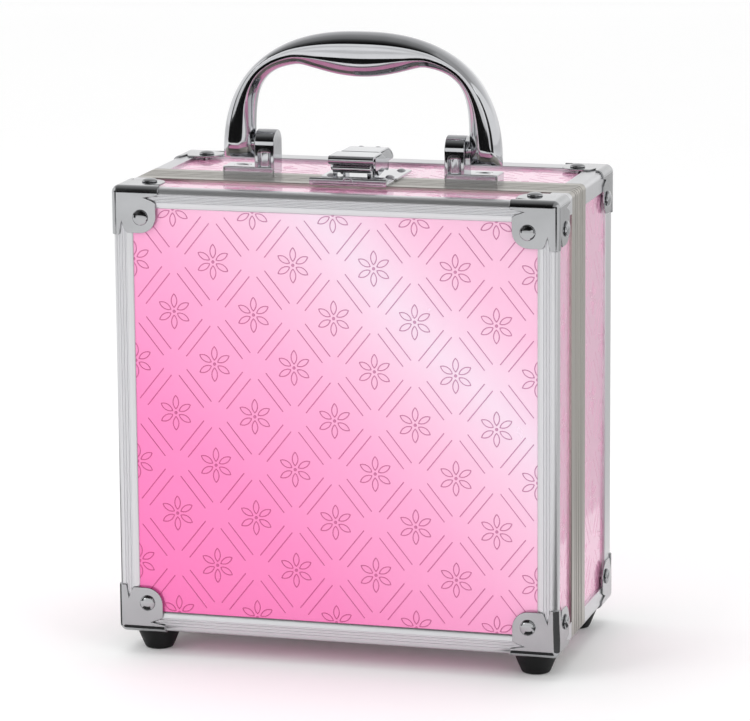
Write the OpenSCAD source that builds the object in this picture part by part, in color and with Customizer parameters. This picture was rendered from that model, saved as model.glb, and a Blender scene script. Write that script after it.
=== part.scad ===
// Hard makeup storage case: two board shells under embossed sheet, bound with metal trims and
// corner covers, hinged along the bottom, with a folding bow handle and a draw latch on top.
// Millimetres, +Z up, front face towards -Y, z = 0 on the surface that the feet stand on.

/* [Case] */
// Width over the trims
case_w = 200; // [170:5:320]
// Height over the trims, without the feet
case_h = 200; // [170:5:320]
// Depth of the front half, which is the lid
lid_d = 41; // [38:1:80]
// Depth of the rear half, which is the base
base_d = 67; // [60:1:140]
// Opening angle at which the hinges stop
open_angle = 100; // [90:5:120]

/* [Walls] */
// Thickness of the wall boards
board_t = 4; // [3:0.5:6]
// Thickness of the embossed sheet over the boards
sheet_t = 0.8; // [0.5:0.1:1.2]
// Thickness of the fabric lining
lining_t = 2; // [1:0.5:3]
// Thickness of the mirror in the lid
mirror_t = 3; // [2:0.5:4]
// Border of lining left showing round the mirror
mirror_border = 16; // [8:1:30]

/* [Trims] */
// Metal thickness of the trims, rims and edge angles
trim_t = 1.2; // [1:0.1:1.6]
// Width of the trim on the front and rear faces
trim_face_w = 9; // [7:0.5:10]
// Return of the front trim onto the sides
lid_trim_return = 5.5; // [4:0.5:9]
// Return of the rear trim onto the sides
base_trim_return = 13; // [4:0.5:14]
// Width of each half's rim along the parting line
rim_w = 13; // [12:0.5:16]
// Depth of the rim's inner flange
rim_flange_d = 5; // [4:0.5:7]
// Reach of the base rim's lip into the lid
rim_lip = 3; // [2:0.5:4]
// Running gap between the lip and the lid rim
rim_gap = 0.3; // [0.2:0.1:0.5]
// Leg width of the angles on the long edges
angle_w = 9; // [7:0.5:12]
// Rounding of the outer edges
edge_r = 2.5; // [1.5:0.1:2.8]
// Depth of the grooves rolled into the trims
groove_depth = 0.35; // [0.2:0.05:0.5]
// Width of the grooves in the face trims
face_groove_w = 0.5; // [0.4:0.1:0.8]
// Distance between the grooves in the face trims
face_groove_pitch = 1.3; // [1.1:0.1:1.8]
// Width of the grooves in the rims
rim_groove_w = 0.9; // [0.6:0.1:1.2]
// Distance of a rim's first groove from the parting line
rim_groove_start = 3.2; // [2.5:0.1:3.5]
// Distance between a rim's two grooves
rim_groove_pitch = 3; // [2:0.1:4]

/* [Corner covers] */
// Metal thickness of the corner covers
cover_t = 0.8; // [0.6:0.1:1]
// Length of the legs along the edges
cover_leg = 21; // [20.5:0.5:24]
// Size of the square lobe on each face
cover_lobe = 20; // [18:0.5:20.4]
// Rounding of the lobe's outer corner
cover_lobe_r = 7.5; // [5:0.5:9]
// Where the slit between leg and lobe ends, from the corner
slit_start = 15; // [13:0.5:17]
// Height of the slit's inner end above the edge
slit_rise = 4.2; // [3.6:0.1:5]
// Height of a leg at its tip
leg_tip_h = 3.1; // [2.8:0.1:3.6]
// Opening of the slit at the leg's tip
slit_mouth = 3.3; // [2:0.1:4]
// Height above the edge at which the lobe reaches its full size
lobe_start = 6; // [5.5:0.1:7]
// Distance of each rivet from the two edges
rivet_inset = 13; // [12:0.5:14]
// Diameter of the domed rivet heads
rivet_head_d = 7; // [5:0.5:8]
// Height of the domed rivet heads
rivet_head_h = 1.6; // [1:0.1:2.5]
// Diameter of the rivet shanks
rivet_d = 3; // [2.4:0.1:3.4]

/* [Feet] */
// Height of the case bottom above the surface
foot_drop = 11; // [9.5:0.5:16]
// Diameter of a foot at its top
foot_top_d = 20.6; // [16:0.2:22]
// Diameter of a foot where it stands
foot_bottom_d = 12.4; // [10:0.2:15]
// Distance of a foot's centre from the case side
foot_inset_x = 13; // [12:0.5:16]
// Distance of a foot's centre from the case face
foot_inset_y = 15; // [13:0.5:16]
// Diameter of the foot screws
foot_screw_d = 3; // [2.5:0.1:4]

/* [Hinges] */
// Distance of each hinge from the centre line
hinge_x = 50; // [35:1:58]
// Width of a hinge
hinge_w = 30; // [24:1:34]
// Depth of a hinge leaf
hinge_leaf_d = 12; // [11:0.5:12]
// Thickness of a hinge leaf
hinge_leaf_t = 1.2; // [1:0.1:1.4]
// Outer diameter of the hinge knuckles
knuckle_d = 5.2; // [4.8:0.1:5.6]
// Diameter of the hinge pin
hinge_pin_d = 2.4; // [2:0.1:2.8]
// Reach of the stop lug from the hinge pin
stop_reach = 5; // [4.6:0.1:5.4]

/* [Handle] */
// Distance of the handle's pivots behind the parting line
handle_back = 8.3; // [8.1:0.1:10]
// Height of the pivots above the case top
pivot_rise = 14; // [13:0.5:18]
// Overall width of the handle
handle_w = 127.6; // [120:0.2:140]
// Clear width between the handle's legs
handle_clear_w = 98; // [92:1:104]
// Height of the handle's top above the case top
handle_rise = 65; // [60:1:80]
// Height of the bow over the hand gap at its shoulders
grip_rise = 50.5; // [46:0.5:56]
// Drop of the grip's belly in the middle
belly_drop = 5.6; // [3:0.2:8]
// Half length of the belly
belly_half = 28.5; // [20:0.5:34]
// Thickness of the handle, front to back
handle_t = 14; // [10:0.5:14]
// Diameter of the pivot pins
pivot_d = 6; // [4:0.5:8]

/* [Handle brackets] */
// Thickness of the upright that carries the pivot
upright_t = 9; // [6:0.5:10]
// Gap between the upright and the handle's leg
leg_gap = 1; // [0.6:0.1:3]
// Depth of the bracket, front to back
bracket_d = 13; // [12:0.5:14]
// Thickness of the bracket's foot plate
bracket_foot_t = 4; // [3:0.5:4.5]
// Reach of the foot plate under the handle's leg
bracket_reach = 15; // [13:0.5:16]
// Diameter of the bracket screws
bracket_screw_d = 4; // [3:0.5:5]

/* [Latch] */
// Width of the latch plates
latch_w = 35; // [32:1:44]
// Thickness of the latch plates
latch_t = 1.2; // [1:0.1:1.4]
// Depth of the strike plate in front of the parting line
strike_d = 16; // [15:0.5:18]
// Height of the strike plate's turned-up front edge
strike_edge_h = 3.3; // [2:0.1:4]
// Depth of the latch base behind the parting line
latch_base_d = 28; // [26:1:34]
// Gap between each latch plate and the parting line
latch_seam_gap = 1.5; // [1:0.5:2]
// Distance of the lever pivot behind the parting line
lever_pivot_back = 5.5; // [5:0.1:6.5]
// Height of the lever pivot above the case top
lever_pivot_rise = 5; // [4.9:0.1:5.4]
// Distance between the lever pivot and the claw pivot
claw_throw = 8; // [7:0.1:8.4]
// Height of the flat top of the lever and claw above the lever pivot
latch_top_rise = 7.2; // [7:0.1:7.5]
// Reach of the lever's flat top behind the claw pivot
lever_flat = 4.7; // [4:0.1:5.5]
// Reach of the lever's curled finger end behind the claw pivot
lever_tail = 15.2; // [13:0.1:15.4]
// Height of the finger end above the lever pivot
lever_tail_rise = 2; // [1.6:0.1:3]
// Diameter of the latch pins
latch_pin_d = 2.6; // [2:0.1:3]
// Width across the claw
claw_w = 20.6; // [19:0.2:24]
// Distance of the strike's roll in front of the parting line
roll_front = 8; // [7:0.1:9]
// Height of the strike's roll above the case top
roll_rise = 6.4; // [6.2:0.1:6.6]
// Diameter of the strike's roll
roll_d = 3.6; // [3:0.1:4]

/* [Hidden] */
$fn = 64;

// Halves of the case, named by the side of the parting line that they lie on
LID = -1;
BASE = 1;
LEFT = -1;
RIGHT = 1;
BOTTOM = -1;
TOP = 1;
eps = 0.01;
over = 1;

// Main planes
case_d = lid_d + base_d;
half_w = case_w / 2;
bottom_z = foot_drop;
top_z = bottom_z + case_h;
mid_z = (bottom_z + top_z) / 2;
seam_y = lid_d - case_d / 2;

// Layers of a wall, measured in from the outer planes
board_out = trim_t + sheet_t;
board_in = board_out + board_t;
lining_in = board_in + lining_t;
lid_flange_in = board_in + trim_t;
lip_out = lid_flange_in + rim_gap;
lip_in = lip_out + trim_t;

// Fit of pins in the bores that turn on them, and of screws and rivets in their holes
pin_play = 0.05;
hole_play = 0.1;

// Hinge axis below the bottom rim
hinge_drop = knuckle_d / 2 + 0.3;
hinge_z = bottom_z - hinge_drop;
knuckle_gap = 0.2;
knuckle_w = hinge_w / 3;
leaf_cutback = knuckle_d / 2 + 0.4;
hinge_rivet_x = hinge_w / 2 - 6;
hinge_rivet_y = 7.5;
leaf_under = hinge_drop - hinge_leaf_t;
stop_play = 0.05;
stop_half = (leaf_under - stop_play + stop_reach * cos(open_angle)) / sin(open_angle);

// Handle and its brackets
handle_y = seam_y + handle_back;
pivot_z = top_z + pivot_rise;
leg_in_x = handle_clear_w / 2;
upright_out_x = leg_in_x - leg_gap;
upright_in_x = upright_out_x - upright_t;
upright_r = bracket_d / 2 - 0.2;
leg_r = handle_t / 2;
leg_bottom_z = pivot_z - leg_r;
bracket_screw_x = upright_out_x + bracket_reach / 2;
pivot_end_gap = 3;
pin_floor = 1.5;
collar_play = 0.1;

// Latch
latch_in = seam_y + latch_seam_gap;
lever_y = seam_y + lever_pivot_back;
lever_z = top_z + lever_pivot_rise;
claw_y = lever_y + claw_throw;
arm_t = 1.2;
arm_gap = 0.3;
lever_front_y = -0.6;
lever_flat_y = claw_throw + lever_flat;
lever_tail_y = claw_throw + lever_tail;
lever_tail_half = (lever_tail - lever_flat) / 2;
cheek_foot = 1;
claw_arm_in_x = claw_w / 2 - arm_t;
cheek_in_x = claw_arm_in_x - arm_gap - arm_t;
ear_in_x = cheek_in_x - arm_gap - arm_t;
ear_r = 3.4;
arm_r = 2.2;
roll_y = seam_y - roll_front;
roll_z = top_z + roll_rise;
roll_half = claw_arm_in_x - arm_gap;
post_w = 2;
lip_gap = 0.1;
claw_lip_y = roll_y - roll_d / 2 - lip_gap;
claw_top_z = lever_z + latch_top_rise;
claw_lip_z = roll_z + 0.8;
claw_back_y = lever_y - 2.2;
arm_foot_rise = 0.2;
latch_rivet_x = latch_w / 2 - 4;
latch_rivet_y = 5;
latch_rivet_head_d = 4.4;
latch_rivet_head_h = 1;
latch_rivet_d = 2.4;

// Foot and its screw
foot_h = foot_drop - cover_t;
foot_recess_d = 8;
foot_floor = 4;
foot_screw_head_d = 6;
foot_screw_head_h = 2;

chrome_colour = [0.78, 0.79, 0.8];
metal_colour = [0.72, 0.73, 0.74];
sheet_colour = [0.98, 0.62, 0.82];
board_colour = [0.66, 0.52, 0.38];
rubber_colour = [0.06, 0.06, 0.06];
lining_colour = [0.1, 0.09, 0.1];
mirror_colour = [0.8, 0.86, 0.88];

function face_y(half) = half * case_d / 2;
function rim_edge_y(half) = seam_y + half * trim_t;
function board_outer_y(half) = face_y(half) - half * board_out;
function board_inner_y(half) = face_y(half) - half * board_in;
function trim_return(half) = half == LID ? lid_trim_return : base_trim_return;
function edge_z(level) = level == TOP ? top_z : bottom_z;

// ---------- Shared shapes ----------

// Rectangle centred on the origin with true arcs at its corners
module rounded_rect(w, h, r) {
  if (r <= 0) square([w, h], center = true);
  else {
    square([w - 2 * r, h], center = true);
    square([w, h - 2 * r], center = true);
    for (x = [-1, 1], y = [-1, 1])
      translate([x * (w / 2 - r), y * (h / 2 - r)]) circle(r = r);
  }
}

// Slab of the case's front outline, set in from its outer planes, between two depths
module outline_slab(inset, ya, yb, r = 0)
  translate([0, max(ya, yb), mid_z]) rotate([90, 0, 0])
    linear_extrude(abs(yb - ya)) rounded_rect(case_w - 2 * inset, case_h - 2 * inset, r);

// Ring of the case's outline between two insets
module outline_ring(out, in, ya, yb, r = 0)
  difference() {
    outline_slab(out, ya, yb, r);
    outline_slab(in, min(ya, yb) - over, max(ya, yb) + over);
  }

// The whole case as one block with rounded edges, grown by a sheet's thickness
module soft_case(grow = 0) {
  w = case_w + 2 * grow;
  d = case_d + 2 * grow;
  h = case_h + 2 * grow;
  r = edge_r + grow;
  intersection() {
    translate([0, d / 2, mid_z]) rotate([90, 0, 0]) linear_extrude(d) rounded_rect(w, h, r);
    translate([-w / 2, 0, mid_z]) rotate([90, 0, 90]) linear_extrude(w) rounded_rect(d, h, r);
    translate([0, 0, mid_z - h / 2]) linear_extrude(h) rounded_rect(w, d, r);
  }
}

// Turns to a corner of the case, with local +X, +Y and +Z pointing into it
module at_corner(side, half, level)
  translate([side * half_w, face_y(half), edge_z(level)])
    mirror([side == RIGHT ? 1 : 0, 0, 0])
      mirror([0, half == BASE ? 1 : 0, 0])
        mirror([0, 0, level == TOP ? 1 : 0])
          children();

// Domed head over a shank, seated on z = 0 and reaching down
module rivet(head_d, head_h, shank_d, length) {
  dome_r = (head_d * head_d / 4 + head_h * head_h) / (2 * head_h);
  intersection() {
    translate([0, 0, head_h - dome_r]) sphere(r = dome_r);
    cylinder(d = head_d + over, h = head_h);
  }
  translate([0, 0, -length]) cylinder(d = shank_d, h = length + eps);
}

// Bar along X between two places, with its axis at the given depth and height
module bar_x(xa, xb, y, z, d)
  translate([min(xa, xb), y, z]) rotate([0, 90, 0]) cylinder(d = d, h = abs(xb - xa));

module box_between(low, high)
  translate(low) cube(high - low);

// ---------- Places of the fasteners; local +Z points out of the case ----------

module at_corner_rivets(half)
  for (side = [LEFT, RIGHT], level = [BOTTOM, TOP])
    at_corner(side, half, level) {
      translate([rivet_inset, -cover_t, rivet_inset]) rotate([90, 0, 0]) children();
      translate([-cover_t, rivet_inset, rivet_inset]) rotate([0, -90, 0]) children();
      if (level == TOP) translate([rivet_inset, rivet_inset, -cover_t]) mirror([0, 0, 1]) children();
    }

module at_feet(half)
  for (side = [LEFT, RIGHT]) at_foot(side, half) children();

module at_foot(side, half)
  translate([side * (half_w - foot_inset_x), face_y(half) - half * foot_inset_y, bottom_z - cover_t])
    mirror([0, 0, 1]) children();

module at_hinge_rivets(half)
  for (side = [LEFT, RIGHT], x = [-hinge_rivet_x, hinge_rivet_x])
    translate([side * hinge_x + x, seam_y + half * hinge_rivet_y, bottom_z - hinge_leaf_t])
      mirror([0, 0, 1]) children();

module at_strike_rivets()
  for (x = [-latch_rivet_x, latch_rivet_x])
    translate([x, seam_y - latch_rivet_y, top_z + latch_t]) children();

module at_latch_base_rivets()
  for (x = [-latch_rivet_x, latch_rivet_x], y = [latch_rivet_y, latch_base_d - 4])
    translate([x, seam_y + y, top_z + latch_t]) children();

module at_bracket_screws()
  for (side = [LEFT, RIGHT])
    translate([side * bracket_screw_x, handle_y, top_z + bracket_foot_t]) children();

// Every hole that a half's boards, sheets and rims need for its fasteners
module fastener_holes(half) {
  depth = board_in + over;
  at_corner_rivets(half) translate([0, 0, -depth]) cylinder(d = rivet_d + hole_play, h = depth + over);
  at_feet(half) translate([0, 0, -depth - cover_t]) cylinder(d = foot_screw_d + hole_play, h = depth + over);
  at_hinge_rivets(half)
    translate([0, 0, -depth - hinge_leaf_t]) cylinder(d = rivet_d + hole_play, h = depth + over);
  if (half == LID)
    at_strike_rivets() translate([0, 0, -depth - latch_t])
      cylinder(d = latch_rivet_d + hole_play, h = depth + over);
  else {
    at_latch_base_rivets() translate([0, 0, -depth - latch_t])
      cylinder(d = latch_rivet_d + hole_play, h = depth + over);
    at_bracket_screws() translate([0, 0, -depth - bracket_foot_t])
      cylinder(d = bracket_screw_d + hole_play, h = depth + over);
  }
}

// ---------- Walls ----------

module face_board(half)
  color(board_colour) difference() {
    outline_slab(board_out, board_inner_y(half), board_outer_y(half));
    fastener_holes(half);
  }

module level_board(half, level)
  color(board_colour) difference() {
    intersection() {
      outline_slab(board_out, rim_edge_y(half), board_inner_y(half));
      translate([-half_w, -case_d, level == TOP ? top_z - board_in : bottom_z + board_out])
        cube([case_w, 2 * case_d, board_t]);
    }
    fastener_holes(half);
  }

module side_board(half, side) {
  x = side * (half_w - board_out - board_t / 2);
  color(board_colour) difference() {
    intersection() {
      outline_slab(board_out, rim_edge_y(half), board_inner_y(half));
      translate([x - board_t / 2, -case_d, bottom_z + board_in])
        cube([board_t, 2 * case_d, case_h - 2 * board_in]);
    }
    fastener_holes(half);
  }
}

module face_sheet(half)
  color(sheet_colour) difference() {
    outline_slab(trim_t, board_outer_y(half), board_outer_y(half) + half * sheet_t);
    fastener_holes(half);
  }

// Four sheets over the walls: top and bottom run full width, the sides stand between them
module wall_sheets(half)
  color(sheet_colour) difference() {
    intersection() {
      outline_ring(trim_t, board_out, rim_edge_y(half), board_outer_y(half));
      union() {
        for (level = [BOTTOM, TOP])
          translate([-half_w, -case_d, level == TOP ? top_z - board_out : bottom_z])
            cube([case_w, 2 * case_d, board_out]);
        for (side = [LEFT, RIGHT])
          translate([side * half_w - board_out, -case_d, bottom_z + board_out + eps])
            cube([2 * board_out, 2 * case_d, case_h - 2 * board_out - 2 * eps]);
      }
    }
    fastener_holes(half);
  }

module lining(half)
  color(lining_colour) difference() {
    outline_slab(board_in, seam_y + half * rim_flange_d, board_inner_y(half));
    outline_slab(lining_in, seam_y, board_inner_y(half) - half * lining_t, r = edge_r);
  }

module mirror_plate() {
  back = board_inner_y(LID) + lining_t;
  color(mirror_colour)
    outline_slab(lining_in + mirror_border, back, back + mirror_t, r = edge_r);
}

// ---------- Trims ----------

// Grooves that run round the trim on a face
module face_grooves(half)
  for (i = [-1:1]) {
    place = (trim_face_w - face_groove_w) / 2 + face_groove_pitch * i;
    outline_ring(place, place + face_groove_w,
                 face_y(half) - half * groove_depth, face_y(half) + half * over);
  }

module face_trim(half)
  color(metal_colour) difference() {
    intersection() {
      soft_case();
      outline_slab(0, face_y(half) - half * trim_return(half), face_y(half));
    }
    outline_slab(trim_t, face_y(half) - half * (trim_return(half) + over), face_y(half) - half * trim_t);
    outline_slab(trim_face_w, face_y(half) - half * (trim_t + over), face_y(half) + half * over);
    face_grooves(half);
    fastener_holes(half);
  }

module edge_angles(half)
  color(metal_colour) intersection() {
    outline_ring(0, trim_t, seam_y + half * rim_w, face_y(half) - half * trim_return(half), r = edge_r);
    for (side = [LEFT, RIGHT], level = [BOTTOM, TOP])
      translate([side * half_w - angle_w, -case_d, edge_z(level) - angle_w])
        cube([2 * angle_w, 2 * case_d, 2 * angle_w]);
  }

// Groove rolled round a rim's outer flange, at a distance from the parting line
module rim_groove(half, place)
  difference() {
    outline_slab(-over, seam_y + half * place, seam_y + half * (place + rim_groove_w));
    outline_slab(groove_depth, seam_y + half * (place - over), seam_y + half * (place + 2 * over),
                 r = edge_r - groove_depth);
  }

module rim(half) {
  flange_in = half == LID ? lid_flange_in : lip_in;
  flange_end = seam_y + half * rim_flange_d;
  color(metal_colour) difference() {
    union() {
      outline_ring(0, trim_t, seam_y, seam_y + half * rim_w, r = edge_r);
      outline_ring(0, flange_in, seam_y, seam_y + half * trim_t, r = edge_r);
      outline_ring(board_in, flange_in, seam_y, flange_end);
      if (half == BASE) outline_ring(lip_out, lip_in, seam_y - rim_lip, flange_end);
    }
    for (i = [0, 1]) rim_groove(half, rim_groove_start + rim_groove_pitch * i);
    fastener_holes(half);
  }
}

// ---------- Corner covers ----------

// One face of a cover: a lobe with a rounded corner and two legs that slits part from it
module cover_leaf()
  difference() {
    union() {
      translate([-over, -over]) square([cover_leg + over, slit_start / 2 + over]);
      translate([-over, -over]) square([slit_start / 2 + over, cover_leg + over]);
      translate([-over, -over]) square([cover_lobe - cover_lobe_r + over, cover_lobe + over]);
      translate([-over, -over]) square([cover_lobe + over, cover_lobe - cover_lobe_r + over]);
      translate([cover_lobe - cover_lobe_r, cover_lobe - cover_lobe_r]) circle(r = cover_lobe_r);
    }
    leg_slit();
    mirror([1, -1]) leg_slit();
  }

module leg_slit() {
  polygon([[slit_start, slit_rise], [cover_leg, leg_tip_h], [cover_leg + over, leg_tip_h],
           [cover_leg + over, leg_tip_h + slit_mouth]]);
  translate([cover_lobe, lobe_start]) square([cover_leg, slit_start]);
}

module corner_cover(side, half, level)
  color(chrome_colour) difference() {
    intersection() {
      soft_case(cover_t);
      at_corner(side, half, level) union() {
        translate([0, 0, -cover_t - eps]) linear_extrude(cover_t + edge_r) cover_leaf();
        translate([0, edge_r, 0]) rotate([90, 0, 0]) linear_extrude(cover_t + edge_r + eps) cover_leaf();
        translate([edge_r, 0, 0]) rotate([0, -90, 0]) linear_extrude(cover_t + edge_r + eps) cover_leaf();
      }
    }
    soft_case();
    fastener_holes(half);
  }

module corner_rivets(half)
  color(chrome_colour) at_corner_rivets(half)
    rivet(rivet_head_d, rivet_head_h, rivet_d, cover_t + board_in);

// ---------- Feet ----------

module foot(side, half)
  color(rubber_colour) at_foot(side, half) difference() {
    cylinder(d1 = foot_top_d, d2 = foot_bottom_d, h = foot_h);
    translate([0, 0, foot_floor]) cylinder(d = foot_recess_d, h = foot_h);
    translate([0, 0, -over]) cylinder(d = foot_screw_d + hole_play, h = foot_h);
  }

module foot_screws(half)
  color(metal_colour) at_feet(half) {
    translate([0, 0, foot_floor]) cylinder(d = foot_screw_head_d, h = foot_screw_head_h);
    translate([0, 0, -cover_t - board_in])
      cylinder(d = foot_screw_d, h = cover_t + board_in + foot_floor + eps);
  }

// ---------- Hinges ----------

// A leaf with its knuckles; the base leaf holds the outer two and the lid leaf the middle one
module hinge_leaf(side, half) {
  span = hinge_w / 2;
  inner = knuckle_w / 2 + (half == LID ? -knuckle_gap / 2 : knuckle_gap / 2);
  knuckles = half == LID ? [[-inner, inner]] : [[-span, -inner], [inner, span]];
  color(metal_colour) translate([side * hinge_x, seam_y, hinge_z]) difference() {
    union() {
      translate([-span, min(half * leaf_cutback, half * hinge_leaf_d), leaf_under])
        cube([hinge_w, hinge_leaf_d - leaf_cutback, hinge_leaf_t]);
      for (k = knuckles) {
        bar_x(k[0], k[1], 0, 0, knuckle_d);
        translate([k[0], min(0, half * (leaf_cutback + eps)), leaf_under])
          cube([k[1] - k[0], leaf_cutback + eps, hinge_leaf_t]);
      }
      if (half == LID)
        translate([-inner, -stop_half, -stop_reach]) cube([2 * inner, 2 * stop_half, stop_reach]);
    }
    bar_x(-span - over, span + over, 0, 0, hinge_pin_d + 2 * pin_play);
    for (x = [-hinge_rivet_x, hinge_rivet_x])
      translate([x, half * hinge_rivet_y, 0]) cylinder(d = rivet_d + hole_play, h = hinge_drop + over);
  }
}

module hinge_pins()
  color(metal_colour) for (side = [LEFT, RIGHT])
    bar_x(side * hinge_x - hinge_w / 2, side * hinge_x + hinge_w / 2, seam_y, hinge_z, hinge_pin_d);

module hinge_rivets(half)
  color(metal_colour) at_hinge_rivets(half)
    rivet(rivet_head_d - 1.5, rivet_head_h - 0.4, rivet_d, hinge_leaf_t + board_in);

// ---------- Handle ----------

function power_sum(x, half_span, power) = pow(max(0, 1 - pow(abs(x) / half_span, power)), 1 / power);
function bow_outer_z(x) =
  leg_bottom_z + (top_z + handle_rise - leg_bottom_z) * power_sum(x, handle_w / 2, 2.38);
function belly_z(x) = abs(x) < belly_half ? belly_drop * pow(1 - pow(x / belly_half, 2), 1.2) : 0;
function bow_inner_z(x) =
  leg_bottom_z + (top_z + grip_rise - leg_bottom_z) * power_sum(x, leg_in_x, 4.8) - belly_z(x);

// Points across a span, closer together towards its ends
function spread(half_span, count) = [for (i = [0:count]) -half_span * cos(180 * i / count)];

module bow_outline() {
  outer = [for (x = spread(handle_w / 2, 48)) [x, bow_outer_z(x)]];
  inner = [for (x = spread(leg_in_x, 48)) [x, bow_inner_z(x)]];
  difference() {
    polygon(outer);
    polygon(concat([[-leg_in_x, leg_bottom_z - over]], inner, [[leg_in_x, leg_bottom_z - over]]));
  }
}

// Bow with round leg ends about the pivots
module handle_bow()
  color(chrome_colour) difference() {
    intersection() {
      translate([0, handle_y + leg_r, 0]) rotate([90, 0, 0]) linear_extrude(handle_t) bow_outline();
      union() {
        bar_x(-handle_w, handle_w, handle_y, pivot_z, handle_t);
        translate([-handle_w, handle_y - leg_r, pivot_z]) cube([2 * handle_w, handle_t, handle_rise]);
      }
    }
    for (side = [LEFT, RIGHT])
      bar_x(side * (leg_in_x - over), side * (handle_w / 2 - pivot_end_gap), handle_y, pivot_z, pivot_d);
  }

module handle_pins()
  color(chrome_colour) for (side = [LEFT, RIGHT]) {
    bar_x(side * (upright_in_x + pin_floor + pin_play), side * (handle_w / 2 - pivot_end_gap),
          handle_y, pivot_z, pivot_d);
    bar_x(side * (upright_out_x + collar_play), side * (leg_in_x - collar_play),
          handle_y, pivot_z, pivot_d + 2);
  }

module handle_bracket(side)
  color(chrome_colour) difference() {
    mirror([side == LEFT ? 1 : 0, 0, 0]) union() {
      translate([upright_in_x, handle_y - bracket_d / 2, top_z])
        cube([upright_t + bracket_reach, bracket_d, bracket_foot_t]);
      translate([upright_in_x, handle_y - upright_r, top_z])
        cube([upright_t, 2 * upright_r, pivot_rise]);
      bar_x(upright_in_x, upright_out_x, handle_y, pivot_z, 2 * upright_r);
    }
    bar_x(side * (upright_in_x + pin_floor), side * (upright_out_x + over),
          handle_y, pivot_z, pivot_d + 2 * pin_play);
    at_bracket_screws() {
      translate([0, 0, -bracket_foot_t - over])
        cylinder(d = bracket_screw_d + hole_play, h = bracket_foot_t + 2 * over);
      translate([0, 0, -bracket_screw_d / 2 + eps])
        cylinder(d1 = bracket_screw_d, d2 = 2 * bracket_screw_d + eps, h = bracket_screw_d / 2);
    }
  }

module bracket_screws()
  color(chrome_colour) at_bracket_screws() {
    translate([0, 0, -bracket_screw_d / 2])
      cylinder(d1 = bracket_screw_d, d2 = 2 * bracket_screw_d - hole_play, h = bracket_screw_d / 2);
    translate([0, 0, -bracket_foot_t - board_in])
      cylinder(d = bracket_screw_d, h = bracket_foot_t + board_in - bracket_screw_d / 2 + eps);
  }

// ---------- Latch ----------

module latch_strike()
  color(chrome_colour) difference() {
    union() {
      box_between([-latch_w / 2, seam_y - strike_d, top_z],
                  [latch_w / 2, seam_y - latch_seam_gap, top_z + latch_t]);
      box_between([-latch_w / 2, seam_y - strike_d, top_z],
                  [latch_w / 2, seam_y - strike_d + latch_t, top_z + strike_edge_h]);
      for (x = [-roll_half, roll_half - post_w])
        box_between([x, roll_y - latch_t / 2, top_z], [x + post_w, roll_y + latch_t / 2, roll_z]);
      bar_x(-roll_half, roll_half, roll_y, roll_z, roll_d);
    }
    at_strike_rivets() translate([0, 0, -over - latch_t])
      cylinder(d = latch_rivet_d + hole_play, h = latch_t + 2 * over);
  }

module latch_strike_rivets()
  color(chrome_colour) at_strike_rivets()
    rivet(latch_rivet_head_d, latch_rivet_head_h, latch_rivet_d, latch_t + board_in);

module latch_base()
  color(chrome_colour) difference() {
    union() {
      box_between([-latch_w / 2, latch_in, top_z], [latch_w / 2, seam_y + latch_base_d, top_z + latch_t]);
      for (side = [LEFT, RIGHT]) {
        x = side == LEFT ? -ear_in_x - arm_t : ear_in_x;
        box_between([x, lever_y - ear_r, top_z], [x + arm_t, lever_y + ear_r, lever_z]);
        bar_x(x, x + arm_t, lever_y, lever_z, 2 * ear_r);
      }
    }
    bar_x(-latch_w, latch_w, lever_y, lever_z, latch_pin_d);
    at_latch_base_rivets() translate([0, 0, -over - latch_t])
      cylinder(d = latch_rivet_d + hole_play, h = latch_t + 2 * over);
  }

module latch_base_rivets()
  color(chrome_colour) at_latch_base_rivets()
    rivet(latch_rivet_head_d, latch_rivet_head_h, latch_rivet_d, latch_t + board_in);

module latch_lever_pin()
  color(chrome_colour)
    bar_x(-cheek_in_x - arm_t, cheek_in_x + arm_t, lever_y, lever_z, latch_pin_d);

// Top line of the lever from its front edge to the curled finger end, in depth and height from
// the pivot, drawn in by some thickness
function lever_line(inset) = [
  [lever_front_y, latch_top_rise - inset], [lever_flat_y, latch_top_rise - inset],
  [lever_flat_y + lever_tail_half, latch_top_rise - 1.3 - inset],
  [lever_tail_y - inset, lever_tail_rise]
];

// Side of the lever
module cheek_outline() {
  circle(r = ear_r);
  polygon(concat([[0, -ear_r], [claw_throw, arm_t - ear_r], [claw_throw + 3, cheek_foot],
                  [lever_tail_y - arm_t, cheek_foot]],
                 [for (i = [3:-1:0]) lever_line(0)[i]], [[-ear_r / 2, ear_r / 2]]));
}

module latch_lever()
  color(chrome_colour) difference() {
    union() {
      for (x = [-cheek_in_x - arm_t, cheek_in_x])
        translate([x, lever_y, lever_z]) rotate([90, 0, 90]) linear_extrude(arm_t) cheek_outline();
      translate([-cheek_in_x - eps, lever_y, lever_z]) rotate([90, 0, 90])
        linear_extrude(2 * (cheek_in_x + eps))
          polygon(concat(lever_line(0), [for (i = [3:-1:0]) lever_line(arm_t)[i]]));
    }
    bar_x(-latch_w, latch_w, lever_y, lever_z, latch_pin_d + 2 * pin_play);
    bar_x(-latch_w, latch_w, claw_y, lever_z, latch_pin_d);
  }

// Side of the claw in depth and height from the lever pivot: its plate's edge and the arm down
// from it to the claw pivot
module arm_outline() {
  front = claw_lip_y - arm_t - lever_y;
  back = claw_back_y - lever_y;
  translate([claw_throw, 0]) circle(r = arm_r);
  polygon([[front, claw_lip_z - lever_z], [front + 2 * arm_t, arm_foot_rise], [back, arm_foot_rise],
           [claw_throw, -arm_r], [claw_throw, arm_r], [back, latch_top_rise], [front, latch_top_rise]]);
}

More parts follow.
